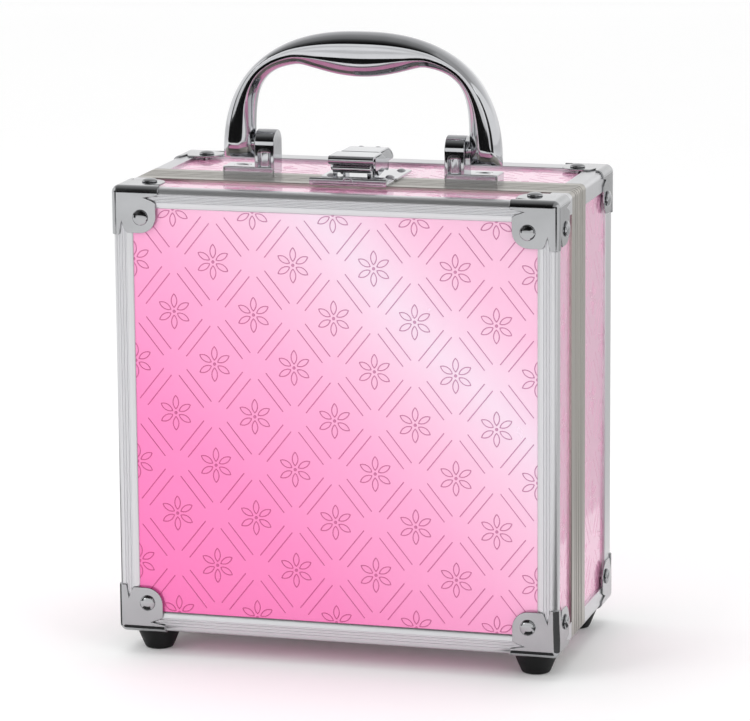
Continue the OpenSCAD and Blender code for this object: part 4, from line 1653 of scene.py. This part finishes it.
@dataclass
class DrawLatch(SubAssembly):
    """The draw latch: a strike plate on the lid, and a lever with its claw on the base."""

    metal: float = 1.2 * MM
    soft: float = 0.28 * MM
    roll_r: float = 1.8 * MM
    post_w: float = 2.0 * MM
    gap: float = 0.3 * MM
    ear_r: float = 3.4 * MM
    arm_r: float = 2.2 * MM
    curl_r: float = 1.9 * MM
    edge_h: float = 3.3 * MM
    plate_r: float = 1.5 * MM
    dimple_r: float = 1.6 * MM
    dimple_x: float = 3.9 * MM
    dimple_tilt_deg: float = -8.6

    def __post_init__(self) -> None:
        """Reads the places of the pins from the frame."""
        lever_pin, claw_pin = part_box("latch_lever_pin"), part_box("latch_claw_pin")
        self.lever_pivot = (lever_pin[0] + lever_pin[1]) / 2
        self.claw_pivot = (claw_pin[0] + claw_pin[1]) / 2
        self.cheek_out = lever_pin[1].x
        self.claw_half = claw_pin[1].x
        self.throw = self.claw_pivot.y - self.lever_pivot.y

    def plate(self, low: Vector, high: Vector, radius: float) -> Solid:
        """A flat plate between two corners with rounded corners and soft edges.

        Args:
            low: Its lowest corner.
            high: Its highest corner.
            radius: Radius of its upright edges.

        Returns:
            The plate.
        """
        flat = Solid.rectangle((low.x, low.y), (high.x, high.y), radius).thicken(high.z - low.z)
        return flat.soften(self.soft).moved(shift(0, 0, low.z))

    def upright(
        self, outline: Sequence[Point], start: float, end: float, rounds: Sequence[float] = ()
    ) -> Solid:
        """A slab that stands across X.

        Args:
            outline: Its corners, as Y and Z.
            start: X of its near face.
            end: X of its far face.
            rounds: Radii of the corners in turn.

        Returns:
            The slab with soft edges.
        """
        slab = Solid.flat(outline, rounds).thicken(end - start).soften(self.soft)
        return slab.moved(shift(start, 0, 0) @ rotation(90, "Z") @ rotation(90, "X"))

    def both_sides(self, outline: Sequence[Point], start: float, end: float) -> Solid:
        """A slab on the right and its mirror image on the left.

        Args:
            outline: Corners of the right one, as Y and Z.
            start: X of its near face.
            end: X of its far face.

        Returns:
            Both slabs.
        """
        slab = self.upright(outline, start, end)
        return slab.add(slab.copy().moved(Matrix.Diagonal((-1, 1, 1, 1))))

    def from_pivot(self, points: Sequence[Point]) -> list[Point]:
        """Moves points given from the lever's pivot into place."""
        return [(self.lever_pivot.y + y, self.lever_pivot.z + z) for y, z in points]

    def strike(self) -> None:
        """Builds the strike plate with its turned-up edge and its roll on two posts."""
        low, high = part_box("latch_strike")
        top, metal, front = self.case.top_z, self.metal, low.y
        roll_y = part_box("latch_claw")[0].y + metal + 0.1 * MM + self.roll_r
        roll_z = high.z - self.roll_r
        reach = self.claw_half - metal - self.gap
        base = self.plate(low, Vector((high.x, high.y, top + metal)), self.plate_r)
        foot, crown = top + self.gap, top + self.edge_h
        edge = [(front, foot), (front + metal, foot), (front + metal, crown), (front, crown)]
        base.add(self.upright(edge, low.x, high.x, [0, 0, 0.3 * MM, 0.9 * MM]))
        base.add(self.nail_mark().moved(shift(0, front, top + 0.45 * self.edge_h)))
        near, far = roll_y - metal / 2, roll_y + metal / 2
        post = [(near, top), (far, top), (far, roll_z), (near, roll_z)]
        base.add(self.both_sides(post, reach - self.post_w, reach))
        base.add(self.roll(reach).moved(shift(0, roll_y, roll_z)))
        self.publish(base, Ticket("strike_plate", "lid", "latch", "latch_strike"), self.finishes.chrome)

    def nail_mark(self) -> Solid:
        """A shallow raised crescent on the strike's front edge."""
        root, crest = -0.2 * MM, 0.12 * MM
        mark = Solid.lathe([(1.5 * MM, root), (2.6 * MM, root), (2.3 * MM, crest), (1.8 * MM, crest),
                            (1.5 * MM, root)], 28)
        return mark.cut((0, 0, 0), (0, -1, 0)).moved(rotation(90, "X"))

    def roll(self, reach: float) -> Solid:
        """The strike's roll about the X axis: a bar with soft ends and a bore in each.

        Args:
            reach: Half of its length.

        Returns:
            The roll.
        """
        outer, bore, bore_d, rim = self.roll_r, 0.8 * MM, 1.2 * MM, 0.35 * MM
        profile = [(0.0, bore_d), (bore, bore_d), (bore, rim), (bore + 0.2 * MM, 0.0), (outer - rim, 0.0),
                   (outer, rim)]
        profile += [(r, 2 * reach - z) for r, z in reversed(profile)]
        return Solid.lathe(profile, 24).moved(shift(-reach, 0, 0) @ rotation(90, "Y"))

    def base_plate(self) -> None:
        """Builds the latch base with its two ears."""
        low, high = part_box("latch_base")
        top, pivot = self.case.top_z, self.lever_pivot
        base = self.plate(low, Vector((high.x, high.y, top + self.metal)), self.plate_r)
        ear_out, foot = self.cheek_out - self.metal - self.gap, top + 0.4 * MM
        ring = arc((pivot.y, pivot.z), self.ear_r, 0, 180, 10)
        outline = [*ring, (pivot.y - self.ear_r, foot), (pivot.y + self.ear_r, foot)]
        base.add(self.both_sides(outline, ear_out - self.metal, ear_out))
        self.publish(base, Ticket("latch_base_plate", "base", "latch", "latch_base"), self.finishes.chrome)

    def lever(self) -> None:
        """Builds the lever: two cheeks under a flat top that curls down to its finger end."""
        _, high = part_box("latch_lever")
        metal, reach = self.metal, self.cheek_out
        top, tail = high.z - self.lever_pivot.z, high.y - self.lever_pivot.y
        flat, foot = self.throw + 4.7 * MM, 1.0 * MM
        middle = (flat + tail) / 2
        crown = [(-0.6 * MM, top), (flat, top), (flat + 2.4 * MM, top - 0.25 * MM),
                 (middle, top - 1.3 * MM), (middle + 3.0 * MM, top - 3.1 * MM), (tail, 2.0 * MM)]
        under = [(y - 0.9 * metal * (y > middle + 1 * MM), z - metal * (y < tail)) for y, z in crown]
        body = self.upright(self.from_pivot([*reversed(crown), *under]), -reach, reach)
        cheek = [*arc((0.0, 0.0), self.ear_r, 150, 270, 8), (self.throw, metal - self.ear_r),
                 (self.throw + 3 * MM, foot), (tail - metal, foot), (tail - 0.3 * MM, 1.9 * MM),
                 (middle + 2.8 * MM, top - 3.3 * MM), (middle, top - 1.6 * MM),
                 (flat, top - 0.3 * MM), (-0.4 * MM, top - 0.3 * MM)]
        body.add(self.both_sides(self.from_pivot(cheek), reach - metal, reach))
        round_r = self.dimple_r
        dimple = Solid.lathe([(0.0, -0.4 * MM), (round_r, -0.4 * MM), (0.9 * round_r, 0.2 * MM),
                              (0.5 * round_r, 0.5 * MM), (0.0, 0.6 * MM)], 18)
        y, z = self.lever_pivot.y + flat + 2.2 * MM, high.z - 0.45 * MM
        for side in Side:
            place = shift(side.value * self.dimple_x, y, z) @ rotation(self.dimple_tilt_deg, "X")
            body.add(dimple.copy().moved(place))
        dimple.bm.free()
        ticket = Ticket("latch_finger_lever", "latch_lever", "latch", "latch_lever")
        self.publish(body, ticket, self.finishes.chrome)

    def claw(self) -> None:
        """Builds the claw: a plate whose front curls under to hook the roll, on two arms."""
        low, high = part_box("latch_claw")
        metal, reach, pivot = self.metal, self.claw_half, self.claw_pivot
        front, top, back = low.y, high.z, self.lever_pivot.y - 2.2 * MM
        curl = (front + self.curl_r, top - self.curl_r)
        outer = arc(curl, self.curl_r, 90, 330, 16)
        inner = arc(curl, self.curl_r - metal, 330, 90, 16)
        body = self.upright([(back, top), *outer, *inner, (back, top - metal)], -reach, reach)
        foot, crown = self.lever_pivot.z + 0.2 * MM, top - 0.3 * MM
        tail = arc((pivot.y, pivot.z), self.arm_r, -90, 90, 8)
        start = front + 2 * self.curl_r + self.gap
        arm = [(start, crown), (start, foot + metal), (start + metal, foot), (back, foot), *tail,
               (back, crown)]
        body.add(self.both_sides(arm, reach - metal, reach))
        ticket = Ticket("latch_claw_plate", "latch_claw", "latch", "latch_claw")
        self.publish(body, ticket, self.finishes.chrome)

    def build(self) -> None:
        """Builds the latch and dresses its pins and rivets."""
        self.strike()
        self.base_plate()
        self.lever()
        self.claw()
        kept = ["latch_strike_rivets", "latch_base_rivets", "latch_lever_pin", "latch_claw_pin"]
        self.dress(kept, self.finishes.chrome)


# ---------- Inside ----------


@dataclass
class Inside(SubAssembly):
    """The flocked lining of both halves and the mirror in the lid."""

    inner_r: float = 3.0 * MM
    mirror_r: float = 2.5 * MM
    facet_w: float = 5.0 * MM
    facet_drop: float = 0.9 * MM

    def lining(self, half: Half) -> None:
        """Builds a half's lining: a soft-cornered tray of cloth over the boards.

        Args:
            half: Lid or base.
        """
        case, way, round_r = self.case, half.value, self.inner_r
        outer, inner = case.board_in, case.board_in + case.lining_t
        mouth = case.from_seam(half, case.rim_flange_d)
        back, floor = case.behind_face(half, outer), case.behind_face(half, inner)
        outline = Outline(case)
        loft = outline.loft().begin(outline.at(outer + 2 * MM, back))
        loft.reach(outline.at(outer, back)).reach(outline.at(outer, mouth + way * 0.5 * MM))
        loft.reach(outline.at(outer + 0.5 * MM, mouth)).reach(outline.at(inner - 0.5 * MM, mouth, round_r))
        loft.reach(outline.at(inner, mouth + way * 0.7 * MM, round_r))
        for inset, depth in arc((round_r, round_r), round_r, 180, 270, 6):
            loft.reach(outline.at(inner + inset, floor - way * depth, round_r))
        loft.reach(outline.at(inner + 30 * MM, floor, round_r))
        ticket = Ticket(f"{half.word}_flock_lining", half.word, "lining", f"{half.word}_lining")
        self.publish(loft.close(), ticket, self.finishes.cloth)

    def mirror(self) -> None:
        """Builds the mirror with a ground facet round its face."""
        low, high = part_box("mirror")
        half_x, half_z = high.x, (high.z - low.z) / 2
        plate = Loft(Solid.rectangle((-half_x, -half_z), (half_x, half_z), self.mirror_r))
        shoulder, chamfer = high.y - self.facet_drop, 0.2 * MM

        def edge(inset: float, y: float) -> Placing:
            """Placing of the outline, drawn in."""
            across, up = 1 - inset / half_x, 1 - inset / half_z
            return lambda home: Vector((home.x * across, y, self.case.mid_z + home.y * up))

        plate.begin(edge(0.0, low.y)).reach(edge(0.0, shoulder - chamfer))
        plate.reach(edge(chamfer, shoulder)).reach(edge(self.facet_w, high.y))
        ticket = Ticket("lid_mirror", "lid", "mirror", "mirror")
        self.publish(plate.close(), ticket, self.finishes.mirror, sharp_deg=3.0)

    def build(self) -> None:
        """Builds the linings and the mirror and dresses the boards."""
        for half in Half:
            self.lining(half)
            walls = ("face", "top", "bottom", "left", "right")
            self.dress([f"{half.word}_{wall}_board" for wall in walls], self.finishes.board)
        self.mirror()


@dataclass
class StopHinges(SubAssembly):
    """The two stop hinges under the parting line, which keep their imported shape."""

    names: tuple[str, ...] = ("hinge_leaf_left", "hinge_leaf_right", "lid_hinge_leaves", "hinge_pins",
                              "base_hinge_rivets", "lid_hinge_rivets")

    def build(self) -> None:
        """Dresses the hinges."""
        self.dress(self.names, self.finishes.steel)


# ---------- Setting ----------


@dataclass(frozen=True)
class PhotoCamera:
    """The camera at the photograph's viewing angle, in the photograph's frame of 750 by 721."""

    azimuth_deg: float = 15.674
    elevation_deg: float = 11.558
    roll_deg: float = -0.450
    focal_px: float = 4163.13
    distance: float = 1.86195
    image_w: float = 750.0
    image_h: float = 721.0
    target: Triple = (0.0, -0.004, 0.111)
    target_px: Point = (364.865, 398.278)
    sensor_mm: float = 36.0

    def build(self) -> None:
        """Makes the camera and sets it as the scene's."""
        turn = rotation(self.azimuth_deg, "Z") @ rotation(90 - self.elevation_deg, "X")
        turn = turn @ rotation(self.roll_deg, "Z")
        right, up, back = (turn.col[axis].to_3d() for axis in range(3))
        per_px = self.distance / self.focal_px
        aside = (self.target_px[0] - self.image_w / 2) * per_px
        above = (self.image_h / 2 - self.target_px[1]) * per_px
        data = bpy.data.cameras.new("photo camera")
        data.sensor_width = self.sensor_mm
        data.lens = self.focal_px * self.sensor_mm / self.image_w
        data.clip_start, data.clip_end = 0.05, 50.0
        camera = bpy.data.objects.new("photo camera", data)
        bpy.context.scene.collection.objects.link(camera)
        spot = Vector(self.target) + back * self.distance - right * aside - up * above
        camera.matrix_world = Matrix.Translation(spot) @ turn
        bpy.context.scene.camera = camera


@dataclass(frozen=True)
class SoftBox:
    """An area lamp that looks at the middle of the case."""

    name: str
    spot: Triple
    size: Point
    watts: float
    aim: Triple = (0.0, 0.0, 0.12)

    def build(self) -> None:
        """Makes the lamp."""
        data = bpy.data.lights.new(self.name, "AREA")
        data.shape = "RECTANGLE"
        data.size, data.size_y = self.size
        data.energy = self.watts
        lamp = bpy.data.objects.new(self.name, data)
        lamp.location = self.spot
        away = Vector(self.spot) - Vector(self.aim)
        lamp.rotation_euler = away.to_track_quat("Z", "Y").to_euler()
        bpy.context.scene.collection.objects.link(lamp)


def stage_piece(solid: Solid, name: str, material: Material) -> bpy.types.Object:
    """Turns a shape into a piece of the setting.

    Args:
        solid: The shape, which is used up.
        name: The object's name.
        material: Its finish.

    Returns:
        The object, marked as part of the stage.
    """
    mesh = bpy.data.meshes.new(name)
    solid.bm.to_mesh(mesh)
    solid.bm.free()
    mesh.materials.append(material)
    piece = bpy.data.objects.new(name, mesh)
    bpy.context.scene.collection.objects.link(piece)
    return piece


def reflect_only(piece: bpy.types.Object) -> None:
    """Hides a piece of the setting from everything but reflections."""
    piece.visible_camera = False
    piece.visible_diffuse = False
    piece.visible_shadow = False
    piece.visible_transmission = False


def glowing(name: str, **sockets: float | Colour) -> Graph:
    """A material that only glows, so that lamps don't brighten it.

    Args:
        name: Its name.
        sockets: Constants for the shader's other sockets.

    Returns:
        Its node tree.
    """
    return Graph(name, Base_Color=grey(0.0), Roughness=1.0, Specular_IOR_Level=0.0,
                 Emission_Strength=1.0, **sockets)


@dataclass(frozen=True)
class Card:
    """An evenly grey card that only reflections see, lying flat unless it is stood on edge."""

    name: str
    level: float
    half_size: Point
    spot: Triple
    stood: bool = False
    turn_deg: float = 0.0

    def build(self) -> None:
        """Makes the card."""
        sheet = Solid.rectangle((-self.half_size[0], -self.half_size[1]), self.half_size)
        stand = rotation(90 if self.stood else 0, "X")
        sheet.moved(shift(*self.spot) @ rotation(self.turn_deg, "Z") @ stand)
        finish = glowing(self.name, Emission_Color=grey(self.level)).material
        reflect_only(stage_piece(sheet, self.name, finish))


@dataclass(frozen=True)
class Studio:
    """A pale floor, soft lamps, and a canopy and grey cards that only reflections see."""

    floor_half: float = 7.0
    floor_level: float = 0.93
    floor_lift: float = 0.07
    far_lift: float = 0.37
    fade_start: float = 1.1
    fade_length: float = 4.0
    ambient: float = 0.8
    canopy_r: float = 1.5
    canopy_half: float = 1.8
    canopy_rise: float = 0.2
    canopy_start_deg: float = -18.0
    canopy_sweep_deg: float = -155.0
    tones: tuple[Point, ...] = ((0.0, 0.005), (0.1, 0.01), (0.2, 0.06), (0.32, 0.18), (0.5, 0.27),
                                (0.64, 0.34), (0.76, 0.52), (0.9, 0.66), (0.97, 0.85), (1.0, 1.1))
    lamps: tuple[SoftBox, ...] = (
        SoftBox("left box", (-1.5, -1.6, 1.2), (1.2, 1.2), 12.0),
        SoftBox("right box", (1.7, -1.2, 1.0), (0.7, 1.2), 5.0),
        SoftBox("top box", (-0.2, 0.2, 2.2), (1.6, 1.6), 12.0),
    )
    cards: tuple[Card, ...] = (
        Card("left card", 0.02, (0.26, 0.42), (-1.0, -0.75, 0.35), stood=True, turn_deg=-55.0),
        Card("right card", 0.02, (0.28, 0.42), (1.0, -0.62, 0.35), stood=True, turn_deg=58.0),
        Card("rear mat", 0.6, (0.5, 0.7), (0.65, 0.75, 0.002)),
        Card("right mat", 0.12, (0.19, 0.12), (0.31, -0.11, 0.001)),
        Card("left mat", 0.12, (0.19, 0.1), (-0.31, 0.04, 0.001)),
        Card("front left mat", 0.05, (0.016, 0.016), (-0.098, -0.074, 0.001)),
        Card("front right mat", 0.05, (0.016, 0.016), (0.088, -0.074, 0.001)),
        Card("front flag", 0.01, (0.16, 0.0875), (-0.05, -0.1475, 0.212)),
    )

    def floor(self) -> None:
        """Lays the floor, which glows for the camera alone, more so far away."""
        graph = Graph("pale floor", Roughness=0.7, Specular_IOR_Level=0.1, Emission_Color=grey(1.0))
        speck = grey(0.99 * self.floor_level)
        graph.colour(graph.noise(3.0, 2.0), (0.3, grey(self.floor_level)), (0.7, speck))
        path = graph.nodes.new("ShaderNodeLightPath")
        beyond = graph.math("SUBTRACT", graph.away(), self.fade_start)
        lift = graph.spread(graph.math("DIVIDE", beyond, self.fade_length), self.floor_lift, self.far_lift)
        graph.feed("Emission Strength", graph.math("MULTIPLY", path.outputs["Is Camera Ray"], lift))
        sheet = Solid.rectangle((-self.floor_half, -self.floor_half), (self.floor_half, self.floor_half))
        stage_piece(sheet, "pale floor", graph.material)

    def canopy(self) -> None:
        """Hangs an arch over the case, black on the left in front, grey overhead and white low behind."""
        arch = Solid()
        ends = [arch.bm.verts.new((x, -self.canopy_r, 0.0)) for x in (-self.canopy_half, self.canopy_half)]
        arch.bm.edges.new(ends)
        arch.moved(rotation(self.canopy_start_deg, "X"))
        arch.sweep(arch.bm.verts[:] + arch.bm.edges[:], (0, 0, 0), (1, 0, 0), self.canopy_sweep_deg, 26)
        arch.moved(shift(0, 0, self.canopy_rise))
        graph = glowing("canopy")
        back = graph.math("DIVIDE", graph.along(0.0, 1.0, 0.0), self.canopy_r)
        place = graph.spread(graph.math("ADD", graph.math("MULTIPLY", back, 0.5), 0.5), 0.0, 1.0)
        aside = graph.spread(graph.math("MULTIPLY", graph.along(1.0, 0.0, 0.0), 2.5), 0.0, 0.7)
        stops = [(stop, grey(level)) for stop, level in self.tones]
        graph.feed("Emission Color", graph.ramp(graph.math("MAXIMUM", place, aside), stops))
        reflect_only(stage_piece(arch, "canopy", graph.material))

    def world(self) -> None:
        """Lights the scene evenly, and shows white to the camera, to metal and through glass."""
        world = bpy.data.worlds.new("soft white")
        world.use_nodes = True
        nodes, links = world.node_tree.nodes, world.node_tree.links
        soft, seen = nodes["Background"], nodes.new("ShaderNodeBackground")
        for background, strength in ((soft, self.ambient), (seen, 1.0)):
            background.inputs["Color"].default_value = grey(1.0)
            background.inputs["Strength"].default_value = strength
        path = nodes.new("ShaderNodeLightPath")
        share = path.outputs["Is Camera Ray"]
        for ray in ("Is Glossy Ray", "Is Transmission Ray"):
            either = nodes.new("ShaderNodeMath")
            either.operation = "MAXIMUM"
            links.new(share, either.inputs[0])
            links.new(path.outputs[ray], either.inputs[1])
            share = either.outputs["Value"]
        mix = nodes.new("ShaderNodeMixShader")
        links.new(share, mix.inputs["Fac"])
        links.new(soft.outputs["Background"], mix.inputs[1])
        links.new(seen.outputs["Background"], mix.inputs[2])
        links.new(mix.outputs["Shader"], nodes["World Output"].inputs["Surface"])
        bpy.context.scene.world = world

    def build(self) -> None:
        """Makes the floor, world, lamps, canopy and cards."""
        self.floor()
        self.world()
        for lamp in self.lamps:
            lamp.build()
        self.canopy()
        for card in self.cards:
            card.build()
        bpy.context.scene.view_settings.view_transform = "Standard"


def main() -> None:
    logging.basicConfig(level=logging.INFO, format="%(name)s: %(message)s")
    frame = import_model()
    PhotoCamera().build()
    Studio().build()
    case = CaseFrame.read()
    finishes = Finishes.make(case)
    parts = (FoilPanels, MetalEdges, CornerCovers, RubberFeet, CarryHandle, DrawLatch, Inside, StopHinges)
    for part in parts:
        LOG.info("building %s", part.__name__)
        part(case, finishes, frame["nodes"]).build()


if __name__ == "__main__":
    main()
